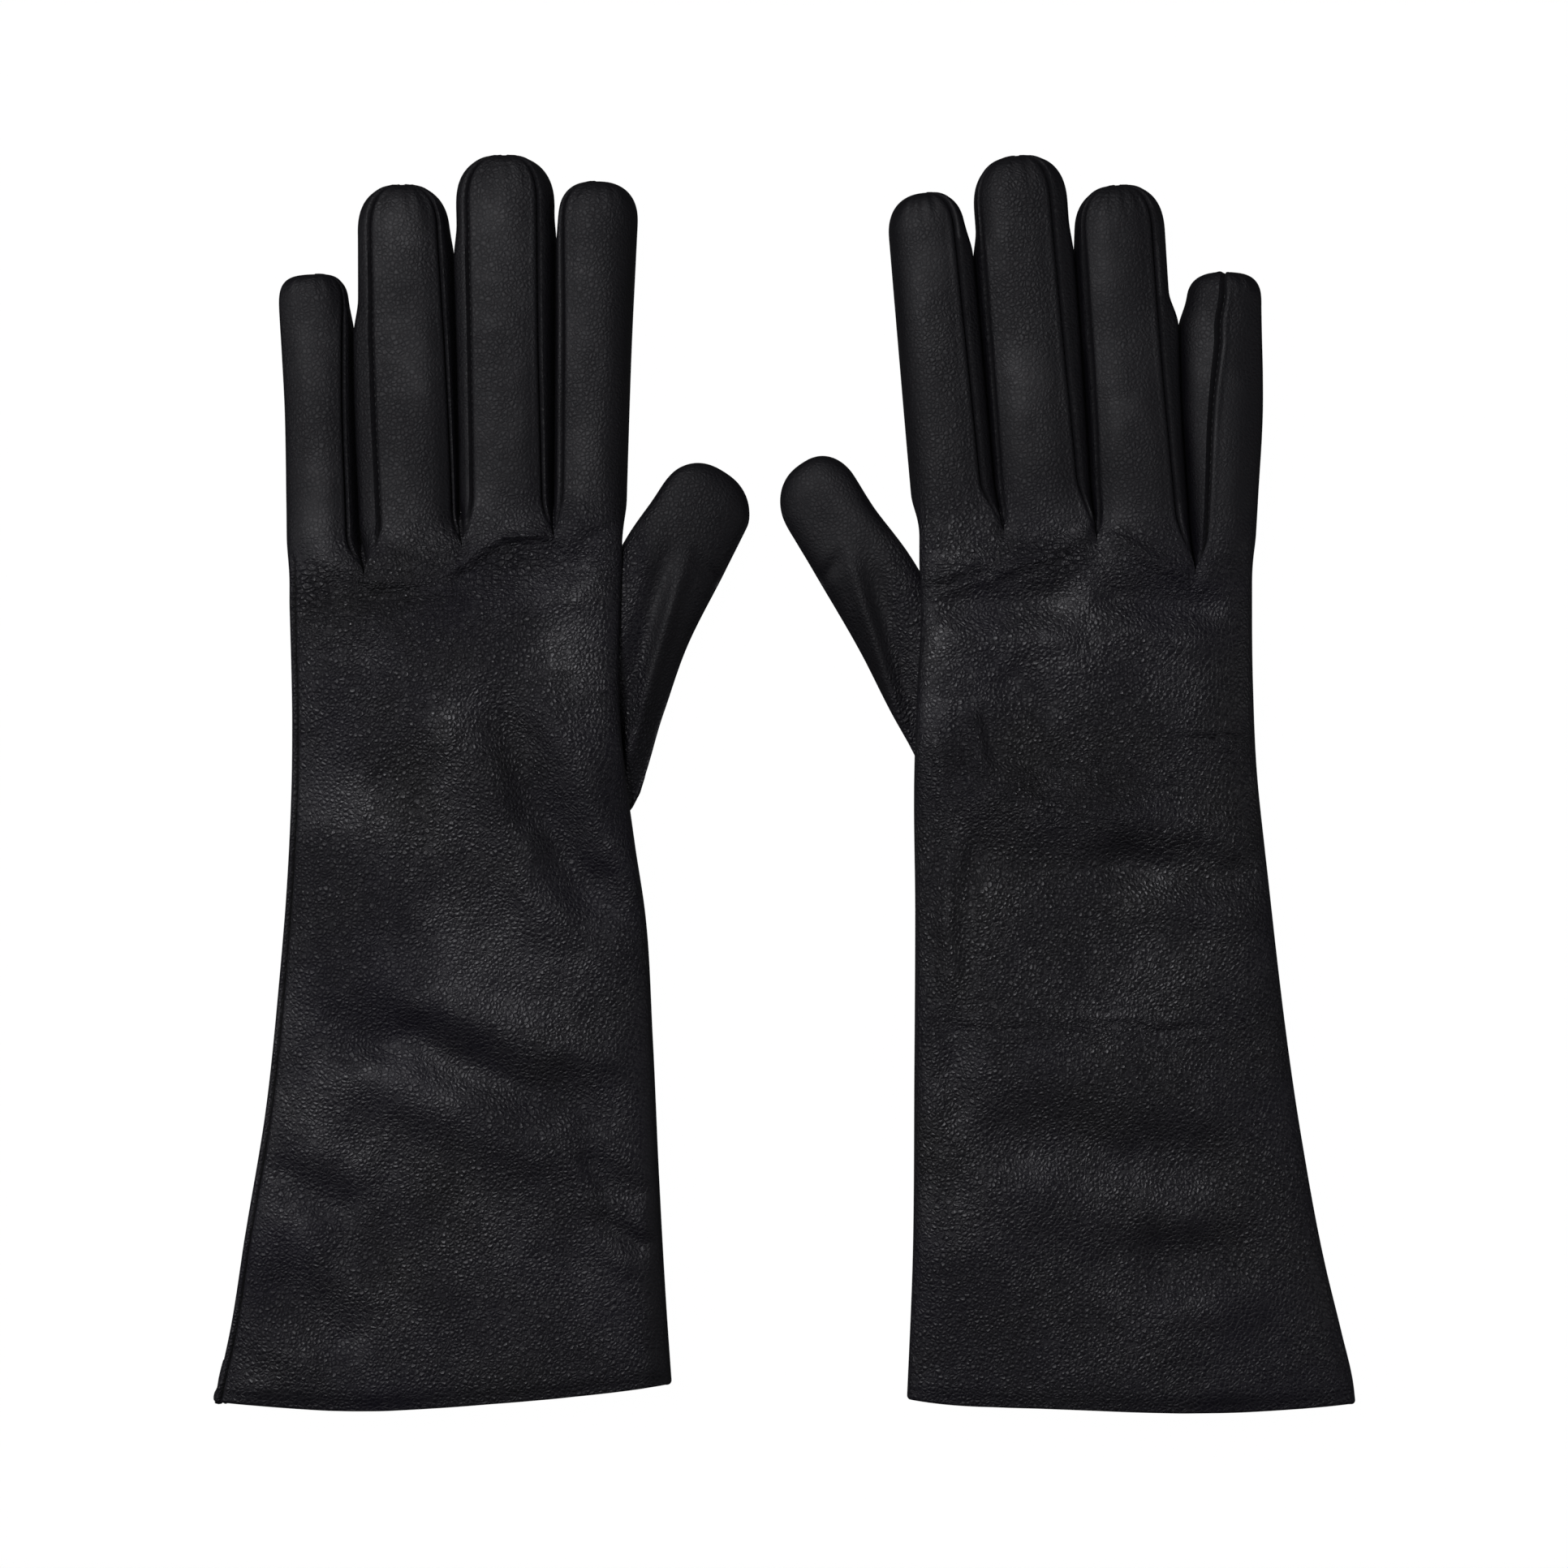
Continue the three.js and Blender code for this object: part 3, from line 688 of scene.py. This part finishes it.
    def root_loop(self, finger, hand_row):
        """The finger's first row, which is its own lane of the hand's last row, closed by two walls."""
        lane = FINGERS.index(finger)
        n, s = PANEL_COLUMNS, SIDE_COLUMNS
        closed = np.vstack([hand_row, hand_row[:1]])
        top = closed[lane * n:(lane + 1) * n + 1]
        low_start = 4 * n + s + (3 - lane) * n
        bottom = closed[low_start:low_start + n + 1]
        down = np.linspace(0, 1, s + 1)[:, None]
        thumb_side = top[-1] + (bottom[0] - top[-1]) * down
        outer_side = bottom[-1] + (top[0] - bottom[-1]) * down
        if finger == "index":
            thumb_side = closed[4 * n:4 * n + s + 1]
        if finger == "little":
            outer_side = closed[8 * n + s:8 * n + 2 * s + 1]
        return np.vstack([top[:-1], thumb_side[:-1], bottom[:-1], outer_side[:-1]])


# Larger folds: start and end from the wrist joint (out to the little finger, along the arm), width, depth.
# A fold with a negative depth stands up as a ridge.
CREASES = {
    "left": [
        ((-6, 42), (-39, -24), 6.0, 2.3), ((34, -38), (-44, -67), 6.5, 1.9),
        ((47, -98), (20, -122), 6.0, 1.1), ((-29, -70), (-46, -87), 3.6, 0.8),
        ((-33, -86), (-48, -97), 3.2, 0.8), ((45, -74), (22, -90), 5.0, 0.9),
        ((2, 63), (-39, 70), 4.6, 1.1), ((4, 65), (-12, 72.6), 1.3, -0.7),
        ((-8, 72), (-27, 75), 1.3, -0.7), ((-30, 73), (-40, 76), 1.2, 0.4), ((36, 60), (4, 58), 4.2, 1.0),
        ((24, 64.5), (6, 62), 1.2, -0.5), ((38, 56), (16, 55), 1.0, 0.35), ((14, 57), (-4, 60), 1.0, 0.4),
        ((20, 20), (4, 12), 7.0, 0.7),
    ],
    "right": [
        ((-40, 58), (2, 60), 4.6, 1.2), ((0, 61), (36, 57), 4.2, 1.1), ((-24, 66), (-5, 72), 1.5, -0.6),
        ((-9, 71), (4, 75), 1.2, -0.6), ((4, 74), (26, 64), 1.4, -0.6),
        ((-39, 61.5), (-19, 67), 0.9, 0.4), ((-36, 13), (22, 4), 7.0, -1.5),
        ((-2, -1), (46, -8), 5.4, 1.4), ((-32, 16.5), (-5, 14), 0.9, 0.45),
        ((-6, 13.4), (11, 15.2), 0.8, 0.4), ((-27, 21), (2, 19), 0.8, 0.3),
        ((21, 25.5), (42, 24.5), 0.9, 0.45), ((-29, 34), (-24, 16), 1.8, -0.8),
        ((-31, 8), (-32, -40), 2.0, -0.8), ((38, -43), (-38, -42), 1.1, 0.35),
        ((-20, 44), (-6, 30), 7.0, 0.8), ((44, -78), (-30, -66), 8.0, 1.3),
        ((-33, -36), (-29, -70), 4.0, 0.7), ((10, -100), (46, -94), 7.0, 1.0),
    ],
}

# Fields of fine wrinkles: centre, reach and strength.
WRINKLES = {
    "left": [
        ((16, 59), (22, 6), 1.0), ((-16, 68), (20, 6), 1.0), ((32, 62), (8, 8), 0.6),
        ((0, 50), (30, 6), 0.3),
    ],
    "right": [
        ((-4, 69), (18, 5), 1.0), ((20, 63), (14, 5), 0.8), ((-28, 64), (12, 4), 0.6),
        ((-8, 14), (28, 9), 1.0), ((28, 2), (16, 4), 0.7), ((30, 25), (12, 3), 0.5),
        ((5, -43), (30, 3), 0.6), ((-32, 22), (8, 9), 0.6),
    ],
}


# -------- the pieces of a glove

def finish_piece(piece, slot, *nodes):
    piece.data.materials.clear()
    piece.data.materials.append(materials[slot])
    if nodes:
        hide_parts(*nodes)


def blend_wrist(glove, piece):
    glove.node("cuff")
    glove.node("hand")
    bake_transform(piece)


def blend_digit(glove, piece, digit, at, ahead, further):
    glove.node("hand")
    glove.node(digit)
    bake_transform(piece)


def thumb_grid(glove):
    at, ahead = hinge(f"{glove.side}_thumb_bend")
    aside = np.array([ahead[1], -ahead[0], 0.0]) * -glove.outward
    values = glove.values
    end = values["thumb_tip"]
    body_end = end - THUMB_TIP_RADIUS
    straight = np.linspace(-6, body_end, THUMB_ROWS)
    turn = np.linspace(0, 2 * math.pi, THUMB_COLUMNS + 1)[:-1]
    c, s = np.cos(turn), np.sin(turn)
    reach = -np.sign(c) * np.abs(c) ** (2 / THUMB_SQUARENESS)
    level = np.sign(s) * np.abs(s) ** (2 / THUMB_SQUARENESS)
    rows = []
    for d in np.concatenate([straight, rounding_off(body_end, THUMB_TIP_RADIUS, TIP_ROWS)]):
        outer, inner = smooth_curve(values["thumb_outer"], d), smooth_curve(values["thumb_inner"], d)
        half, centre = (outer - inner) / 2, (outer + inner) / 2
        past = max((d - body_end) / THUMB_TIP_RADIUS, 0.0)
        shrink = max(1 - past ** THUMB_TIP_SQUARENESS, 0.0) ** (1 / THUMB_TIP_SQUARENESS)
        tall = np.interp(d, [-6, 30, 58, end], [4.2, 4.9, 6.0, 5.2])
        across = centre + reach * half * shrink
        slant = 2.0 * (across - centre) / half * smoothstep((d - 70) / 10)
        row = at + ahead * d + aside * across[:, None] - ahead * slant[:, None]
        row[:, 2] = tall + level * tall * shrink ** 0.8
        along_fold = smoothstep((d - 4) / 10) * smoothstep((70 - d) / 22)
        crest = 9.2 - 0.075 * d
        fold = 1.5 * np.exp(-((across - crest) / 1.9) ** 2)
        fold = fold - 1.4 * np.exp(-((across - crest + 4.8) / 2.6) ** 2)
        pad = -0.8 * np.exp(-((d - 62 + 0.6 * (across - 8)) / 1.6) ** 2) * smoothstep((across - 3) / 6)
        x, y = row[:, 0], row[:, 1]
        swell = 0.45 * soft_noise(x, y, 13.0, 2) + 0.1 * soft_noise(x, y, 4.5, 3)
        upper = smoothstep((level - 0.05) / 0.5)
        lean = -0.13 * (across - centre) * smoothstep(shrink / 0.6)
        row[:, 2] += upper * ((fold * along_fold + pad + swell) * smoothstep(shrink / 0.6) + lean)
        rows.append(row)
    return np.array(rows), at, ahead


def inside_thumb(grid, thumb):
    """Which of the hand's faces lie in the thumb, so that the thumb opens into the hand."""
    centre = thumb.mean(axis=1)
    beside = np.roll(grid, -1, axis=1)
    faces = (grid[:-1] + grid[1:] + beside[:-1] + beside[1:]) / 4
    inside = np.zeros(faces.shape[:2], bool)
    for k in range(2, len(centre) - 24):
        ahead = centre[k + 1] - centre[k]
        step = np.linalg.norm(ahead)
        ahead = ahead / step
        offset = faces - centre[k]
        along = offset @ ahead
        sideways = np.array([ahead[1], -ahead[0], 0.0])
        side = np.abs(offset @ sideways)
        half = np.ptp((thumb[k] - centre[k]) @ sideways) / 2
        tall = thumb[k, :, 2].max()
        inside |= (np.abs(along) <= step) & (side < half - 2.5) & (faces[..., 2] < tall - 2.0)
    return inside


def add_lining(glove, name, node, grid, flip, cap=False):
    """A tube of knit inside the leather, with a coarser grid."""
    inner = grid - grid_normals(grid, flip) * LINING_DEPTH
    inner = inner[::3, ::2]
    inner[..., 2] += 0.1
    knit = panel(glove.node(name), inner, flip, cap=cap, thickness=LINING_CLOTH)
    finish_piece(knit, "lining", glove.node(node))
    return knit


def add_cuff(glove):
    """The cuff, with its edge turned in."""
    node, inside_out = glove.node, not glove.flip
    cuff = panel(node("cuff_leather"), glove.cuff, inside_out, fields=glove.fields, seams=glove.marks["cuff"])
    finish_piece(cuff, "leather", node("cuff"))
    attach(cuff, node("cuff"))
    normals = grid_normals(glove.cuff, inside_out)
    turned = []
    for angle in np.linspace(0, math.pi, 9):
        out = np.array([0.0, -math.sin(angle) * FOLD_RADIUS, 0.0])
        turned.append(glove.cuff[-1] + out - normals[-1] * (1 - math.cos(angle)) * FOLD_RADIUS)
    for k in range(2, int(HEM_DEPTH / CUFF_ROW_STEP) + 1):
        turned.append(glove.cuff[-k] - normals[-k] * 2 * FOLD_RADIUS)
    hem = panel(node("turned_hem"), np.array(turned), inside_out)
    finish_piece(hem, "leather", node("cuff_hem"))
    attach(hem, node("cuff"))
    knit = add_lining(glove, "cuff_knit", "cuff_lining", glove.cuff[:-HEM_ROWS], inside_out)
    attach(knit, node("cuff"))


def add_hand(glove, thumb):
    """The hand, open where the thumb is set in."""
    node, kept = glove.node, ~inside_thumb(glove.hand, thumb)
    hand = panel(node("hand_leather"), glove.hand, glove.flip, kept, fields=glove.fields,
                 seams=glove.marks["hand"])
    finish_piece(hand, "leather", node("hand"))
    blend_wrist(glove, hand)
    blend_wrist(glove, add_lining(glove, "hand_knit", "hand_lining", glove.hand, glove.flip))


def add_side_seam(glove):
    """The thread of the long seam on the little finger's side."""
    for part, grid, flip in (("cuff", glove.cuff, not glove.flip), ("hand", glove.hand, glove.flip)):
        turns = seam_turns(grid, grid_normals(grid, flip), glove.seam_column, 1, len(grid) - 2)
        sewn = stitches(glove.node(f"{part}_side_stitches"), turns)
        finish_piece(sewn, "thread", glove.node(f"{part}_seam"))
        if part == "cuff":
            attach(sewn, glove.node("cuff"))
        else:
            blend_wrist(glove, sewn)


def add_finger(glove, finger):
    """A finger with its fourchettes, its lining and the thread of its seams."""
    node, flip = glove.node, glove.flip
    grid = glove.fingers[finger]
    worn = {"fields": glove.fields, "seams": glove.marks[finger]}
    rows, columns = grid.shape[:2]
    n, s = PANEL_COLUMNS, SIDE_COLUMNS
    sides = {"thumb_side": slice(n, n + s), "outer_side": slice(2 * n + s, columns)}
    sides.pop({"index": "thumb_side", "little": "outer_side"}.get(finger), None)
    kept = np.ones((rows - 1, columns), bool)
    pieces = []
    for edge, part in sides.items():
        kept[:, part] = False
        strip = np.zeros_like(kept)
        strip[2:, part] = True
        fourchette = panel(node(f"{finger}_{edge}_strip"), grid, flip, strip, **worn)
        finish_piece(fourchette, "leather", node(f"{finger}_fourchette_{edge}"))
        pieces.append(fourchette)
    cover = panel(node(f"{finger}_leather"), grid, flip, kept, cap=True, **worn)
    finish_piece(cover, "leather", node(f"{finger}_finger"))
    knit = add_lining(glove, f"{finger}_knit", f"{finger}_lining", grid, flip, cap=True)
    normals = grid_normals(grid, flip)
    turns = []
    for column in glove.stitched[finger]:
        turns += seam_turns(grid, normals, column, FIRST_STITCHED_ROW, rows - 8)
    sewn = stitches(node(f"{finger}_stitches"), turns)
    finish_piece(sewn, "thread")
    for piece in pieces + [cover, knit, sewn]:
        blend_digit(glove, piece, finger, *glove.knuckles[finger], BEND_AHEAD)


def add_thumb(glove, thumb, at, ahead):
    cover = panel(glove.node("thumb_leather"), thumb, glove.flip, cap=True, fields=glove.fields)
    finish_piece(cover, "leather", glove.node("thumb"))
    knit = add_lining(glove, "thumb_knit", "thumb_lining", thumb, glove.flip, cap=True)
    for piece in (cover, knit):
        blend_digit(glove, piece, "thumb", at, ahead, THUMB_BEND_AHEAD)


def add_quirk(glove, name, k):
    """A small leaf of leather in a crotch."""
    out, slit_y = glove.values["slits"][k]
    base = np.array([glove.wrist[0] + out * glove.outward, slit_y, 0.0])
    lean = (glove.knuckles[FINGERS[k]][1] + glove.knuckles[FINGERS[k + 1]][1]) / 2
    aside = np.array([lean[1], -lean[0], 0.0]) * glove.outward
    leaf = []
    for t in np.linspace(0.02, 0.98, 17):
        half = QUIRK_HALF_WIDTH * math.sin(math.pi * t) ** 0.8
        ring = []
        for u in np.linspace(-1, 1, 9):
            point = base + lean * (QUIRK_LENGTH * t - 1.2) + aside * half * u
            point[2] = 12.6 - 6.0 * t ** 1.3 - 0.8 * u * u
            ring.append(point)
        leaf.append(ring)
    kept = np.ones((16, 9), bool)
    kept[:, -1] = False
    quirk = panel(glove.node(f"{name}_leaf"), np.array(leaf), False, kept, thickness=QUIRK_LEATHER)
    finish_piece(quirk, "leather", glove.node(f"{name}_quirk"))
    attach(quirk, glove.node("hand"))


def build_glove(side):
    glove = Glove(side)
    glove.build_trank()
    thumb, thumb_at, thumb_ahead = thumb_grid(glove)
    add_cuff(glove)
    add_hand(glove, thumb)
    add_side_seam(glove)
    for finger in FINGERS:
        add_finger(glove, finger)
    add_thumb(glove, thumb, thumb_at, thumb_ahead)
    for k, name in enumerate(("ring_little", "middle_ring", "index_middle")):
        add_quirk(glove, name, k)


# -------- materials

def new_group(name, vector, numbers, outputs):
    """A node group that takes a vector and numbers with their first values, and gives numbers."""
    group = bpy.data.node_groups.new(name, "ShaderNodeTree")
    group.interface.new_socket(name=vector, in_out="INPUT", socket_type="NodeSocketVector")
    for label, value in numbers.items():
        socket = group.interface.new_socket(name=label, in_out="INPUT", socket_type="NodeSocketFloat")
        socket.default_value = value
    for label in outputs:
        group.interface.new_socket(name=label, in_out="OUTPUT", socket_type="NodeSocketFloat")
    return group


class Nodes:
    """Adds and joins nodes in one tree."""

    def __init__(self, tree):
        self.tree = tree

    def add(self, kind, **values):
        node = self.tree.nodes.new(kind)
        for key, value in values.items():
            setattr(node, key, value)
        return node

    def join(self, source, target):
        self.tree.links.new(source, target)

    def feed(self, socket, value):
        """Joins an output to the socket, or sets the socket to a plain value."""
        if hasattr(value, "is_output"):
            self.join(value, socket)
        else:
            socket.default_value = value

    def math(self, operation, a, b):
        node = self.add("ShaderNodeMath", operation=operation)
        self.feed(node.inputs[0], a)
        self.feed(node.inputs[1], b)
        return node.outputs[0]

    def mix(self, factor, a, b):
        node = self.add("ShaderNodeMix", data_type="RGBA")
        for label, value in (("Factor", factor), ("A", a), ("B", b)):
            self.feed(node.inputs[label], value)
        return node.outputs["Result"]

    def ranged(self, value, low, high, to_low, to_high):
        node = self.add("ShaderNodeMapRange", clamp=True)
        labels = ("Value", "From Min", "From Max", "To Min", "To Max")
        for label, given in zip(labels, (value, low, high, to_low, to_high)):
            self.feed(node.inputs[label], given)
        return node.outputs[0]

    def texture(self, kind, vector, inputs, **values):
        node = self.add(kind, **values)
        self.join(vector, node.inputs["Vector"])
        for label, value in inputs.items():
            node.inputs[label].default_value = value
        return node

    def noise(self, vector, scale, detail=2.0, rough=0.5):
        inputs = {"Scale": scale, "Detail": detail, "Roughness": rough}
        return self.texture("ShaderNodeTexNoise", vector, inputs)

    def cell_edges(self, vector, scale):
        cells = self.texture("ShaderNodeTexVoronoi", vector, {"Scale": scale}, feature="DISTANCE_TO_EDGE")
        return cells.outputs["Distance"]

    def bands(self, vector, direction, inputs):
        values = {"wave_type": "BANDS", "bands_direction": direction}
        return self.texture("ShaderNodeTexWave", vector, inputs, **values).outputs["Fac"]

    def bump(self, height, strength, distance):
        node = self.add("ShaderNodeBump")
        for label, value in (("Strength", strength), ("Distance", distance), ("Height", height)):
            self.feed(node.inputs[label], value)
        return node.outputs["Normal"]


def grain_group():
    """Pebbled grain, broad changes of tone, and gathered wrinkles."""
    group = new_group("fine_leather_grain", "Vector", {"Wrinkle": 0.0, "Pebble": 1.0},
                      ("Height", "Tone", "Wear and Highlight", "Dullness"))
    n = Nodes(group)
    given, out = n.add("NodeGroupInput"), n.add("NodeGroupOutput")
    vector, wrinkle = given.outputs["Vector"], given.outputs["Wrinkle"]
    drift = n.noise(vector, 620.0)
    bend = n.add("ShaderNodeVectorMath", operation="SCALE")
    n.join(drift.outputs["Color"], bend.inputs[0])
    bend.inputs["Scale"].default_value = 0.0007
    moved = n.add("ShaderNodeVectorMath", operation="ADD")
    n.join(vector, moved.inputs[0])
    n.join(bend.outputs[0], moved.inputs[1])
    moved = moved.outputs[0]
    pebble = n.ranged(n.cell_edges(moved, PEBBLES_PER_METRE), 0.0, 0.42, 0.0, 1.0)
    pebble = n.math("POWER", pebble, 0.75)
    patches = n.ranged(n.noise(vector, 42.0, 3.0).outputs["Fac"], 0.38, 0.62, 0.38, 1.0)
    stretch = n.texture("ShaderNodeMapping", moved, {"Scale": (0.55, 1.0, 0.8)}).outputs[0]
    folds = n.ranged(n.cell_edges(stretch, WRINKLES_PER_METRE), 0.0, 0.15, 0.0, 1.0)
    shown = n.math("MULTIPLY", patches, given.outputs["Pebble"])
    grain = n.math("MULTIPLY", pebble, shown)
    raised = n.math("MULTIPLY", n.math("MULTIPLY", folds, wrinkle), 1.3)
    n.join(n.math("ADD", grain, raised), out.inputs["Height"])
    n.join(n.noise(vector, 30.0, 4.0, 0.6).outputs["Fac"], out.inputs["Tone"])
    # The pebble tops, which the leather paints lighter: partly their worn tone, partly a painted highlight.
    n.join(grain, out.inputs["Wear and Highlight"])
    gaps = n.math("MULTIPLY", n.math("SUBTRACT", 1.0, pebble), n.math("MAXIMUM", shown, 0.15))
    cracks = n.math("MULTIPLY", n.math("SUBTRACT", 1.0, folds), wrinkle)
    each = n.texture("ShaderNodeTexVoronoi", moved, {"Scale": PEBBLES_PER_METRE}, feature="F1")
    own = n.math("MULTIPLY", n.math("SUBTRACT", each.outputs["Color"], 0.5), 0.12)
    n.join(n.math("ADD", n.math("MAXIMUM", gaps, cracks), own), out.inputs["Dullness"])
    return group


def new_material(name):
    """A material, the means to add nodes to it, its shader, and the place on the piece."""
    material = bpy.data.materials.new(name)
    material.use_nodes = True
    nodes = Nodes(material.node_tree)
    place = nodes.add("ShaderNodeTexCoord").outputs["Object"]
    return material, nodes, material.node_tree.nodes["Principled BSDF"], place


VIOLET_BLACK = (0.0062, 0.0050, 0.0112, 1)
COOL_BLACK = (0.0104, 0.0100, 0.0114, 1)
# A lighter, neutral tone for the pebble tops: partly worn leather, partly a painted highlight.
RUBBED_HIGHLIGHT_BLACK = (0.0190, 0.0185, 0.0195, 1)
# Painted shade for the bottom of the seams.
SEAM_SHADE_BLACK = (0.0006, 0.0006, 0.0008, 1)
# Painted shade for the fingers and thumb.
DIGIT_SHADE_BLACK = (0.0014, 0.0010, 0.0030, 1)


def leather_material(grain):
    """Black leather: pebbled on the hand, its pebble tops lighter (partly worn, partly a painted highlight);
    smoother on the fingers and thumb, with painted shade there and in the seams.
    """
    material, n, shader, place = new_material("black_nappa")
    marks = ("wrinkle", "taut_and_shaded", "seam")
    wrinkle, taut_and_shaded, seam = (n.add("ShaderNodeAttribute", attribute_name=mark).outputs["Fac"] for mark in marks)
    skin = n.add("ShaderNodeGroup")
    skin.node_tree = grain
    n.join(place, skin.inputs["Vector"])
    n.join(wrinkle, skin.inputs["Wrinkle"])
    n.join(n.ranged(taut_and_shaded, 0.0, 1.0, 1.0, 0.42), skin.inputs["Pebble"])
    tone = skin.outputs["Tone"]
    colour = n.mix(n.ranged(tone, 0.3, 0.7, 0.0, 1.0), VIOLET_BLACK, COOL_BLACK)
    # Lighter pebble tops: partly worn leather, partly a painted highlight.
    colour = n.mix(n.ranged(skin.outputs["Wear and Highlight"], 0.5, 1.0, 0.0, 0.7), colour, RUBBED_HIGHLIGHT_BLACK)
    # Painted shade: the leather is darkened down in its seams.
    colour = n.mix(n.ranged(seam, 0.15, 0.8, 0.0, 1.0), colour, SEAM_SHADE_BLACK)
    # Painted shade: the fingers and thumb are darkened.
    colour = n.mix(n.math("MULTIPLY", taut_and_shaded, 0.95), colour, DIGIT_SHADE_BLACK)
    n.join(colour, shader.inputs["Base Color"])
    roughness = n.ranged(tone, 0.3, 0.7, 0.40, 0.28)
    roughness = n.math("ADD", roughness, n.math("MULTIPLY", skin.outputs["Dullness"], 0.42))
    roughness = n.math("ADD", roughness, n.math("MULTIPLY", taut_and_shaded, 0.19))
    roughness = n.math("ADD", roughness, n.ranged(seam, 0.15, 0.8, 0.0, 0.5))
    n.join(roughness, shader.inputs["Roughness"])
    shader.inputs["Specular IOR Level"].default_value = 0.5
    n.join(n.bump(skin.outputs["Height"], 0.8, 0.00034), shader.inputs["Normal"])
    return material


def lining_material():
    """A fine silk knit: small stitches in columns."""
    material, n, shader, place = new_material("silk_knit")
    waves = []
    for direction, scale in (("X", 900.0), ("Y", 1300.0)):
        inputs = {"Scale": scale / 6.28, "Distortion": 1.2, "Detail": 1.0}
        waves.append(n.bands(place, direction, inputs))
    loops = n.math("MULTIPLY", waves[0], waves[1])
    colour = n.mix(loops, (0.006, 0.006, 0.007, 1), (0.030, 0.030, 0.034, 1))
    n.join(colour, shader.inputs["Base Color"])
    n.join(n.ranged(loops, 0.0, 1.0, 0.75, 0.5), shader.inputs["Roughness"])
    shader.inputs["Sheen Weight"].default_value = 0.25
    n.join(n.bump(loops, 0.6, 0.00015), shader.inputs["Normal"])
    return material


def thread_material():
    """Glazed thread with a fine twist."""
    material, n, shader, place = new_material("glazed_thread")
    twist = n.bands(place, "DIAGONAL", {"Scale": 900.0, "Distortion": 0.6})
    n.join(n.mix(twist, (0.004, 0.004, 0.005, 1), (0.018, 0.018, 0.020, 1)), shader.inputs["Base Color"])
    n.join(n.ranged(twist, 0.0, 1.0, 0.5, 0.32), shader.inputs["Roughness"])
    n.join(n.bump(twist, 0.4, 0.00008), shader.inputs["Normal"])
    return material


# -------- the pair

materials = {"leather": leather_material(grain_group()), "lining": lining_material(),
             "thread": thread_material()}
for side in ("left", "right"):
    build_glove(side)


# -------- floor, light and camera

FLOOR_SIZE = 6.0
FLOOR_BELOW = 0.0004
FLOOR_SHOWS = 0.015
FLOOR_GLOW = 0.86
CAMERA_HEIGHT = 1.051
LIGHT_COLOUR = (0.97, 0.96, 1.0)

bpy.ops.object.select_all(action="DESELECT")
bpy.ops.mesh.primitive_plane_add(size=FLOOR_SIZE, location=(0, 0, -FLOOR_BELOW))
floor = bpy.context.object
floor.name = "floor"
floor_paint, fn, paint, place = new_material("pale_floor")
paint.inputs["Roughness"].default_value = 0.9
paint.inputs["Specular IOR Level"].default_value = 0.1
cloud = fn.noise(place, 3.0).outputs["Fac"]
fn.join(fn.mix(cloud, (0.93, 0.93, 0.93, 1), (0.95, 0.95, 0.95, 1)), paint.inputs["Base Color"])
paint.inputs["Alpha"].default_value = FLOOR_SHOWS
paint.inputs["Emission Color"].default_value = (1, 1, 1, 1)
paint.inputs["Emission Strength"].default_value = FLOOR_GLOW
floor.data.materials.append(floor_paint)

# The camera sees a white background, and the gloves are lit by a dim one.
world = bpy.data.worlds.new("white_studio")
scene.world = world
world.use_nodes = True
world.node_tree.nodes.clear()
wn = Nodes(world.node_tree)
rays = wn.add("ShaderNodeLightPath")
mixed = wn.add("ShaderNodeMixShader")
world_out = wn.add("ShaderNodeOutputWorld")
wn.join(rays.outputs["Is Camera Ray"], mixed.inputs[0])
for socket, colour, strength in ((1, (0.95, 0.95, 1, 1), 0.03), (2, (1, 1, 1, 1), 1.0)):
    background = wn.add("ShaderNodeBackground")
    background.inputs["Color"].default_value = colour
    background.inputs["Strength"].default_value = strength
    wn.join(background.outputs[0], mixed.inputs[socket])
wn.join(mixed.outputs[0], world_out.inputs["Surface"])


def soft_light(name, place, size, power):
    lamp = bpy.data.lights.new(name, "AREA")
    lamp.shape = "RECTANGLE"
    lamp.size, lamp.size_y = size
    lamp.energy = power
    lamp.color = LIGHT_COLOUR
    light = bpy.data.objects.new(name, lamp)
    scene.collection.objects.link(light)
    light.location = place
    light.rotation_euler = (Vector((0, 0, 0)) - Vector(place)).to_track_quat("-Z", "Y").to_euler()


soft_light("overhead_softbox", (-0.45, 0.52, 1.6), (0.45, 0.45), 10.6)
soft_light("upper_softbox", (-0.5, 1.3, 0.9), (1.2, 0.6), 1.2)
soft_light("left_softbox", (-1.4, 0.1, 0.7), (0.6, 1.2), 2.6)
soft_light("right_softbox", (1.4, -0.2, 0.7), (0.6, 1.2), 1.6)

box_low, box_high = cad_box
middle = [(a + b) / 2 for a, b in zip(box_low, box_high)]
view = bpy.data.cameras.new("straight_down")
view.lens = 100
view.sensor_width = 36
camera = bpy.data.objects.new("straight_down", view)
scene.collection.objects.link(camera)
camera.location = (middle[0], middle[1], CAMERA_HEIGHT)
scene.camera = camera
scene.view_settings.view_transform = "Standard"
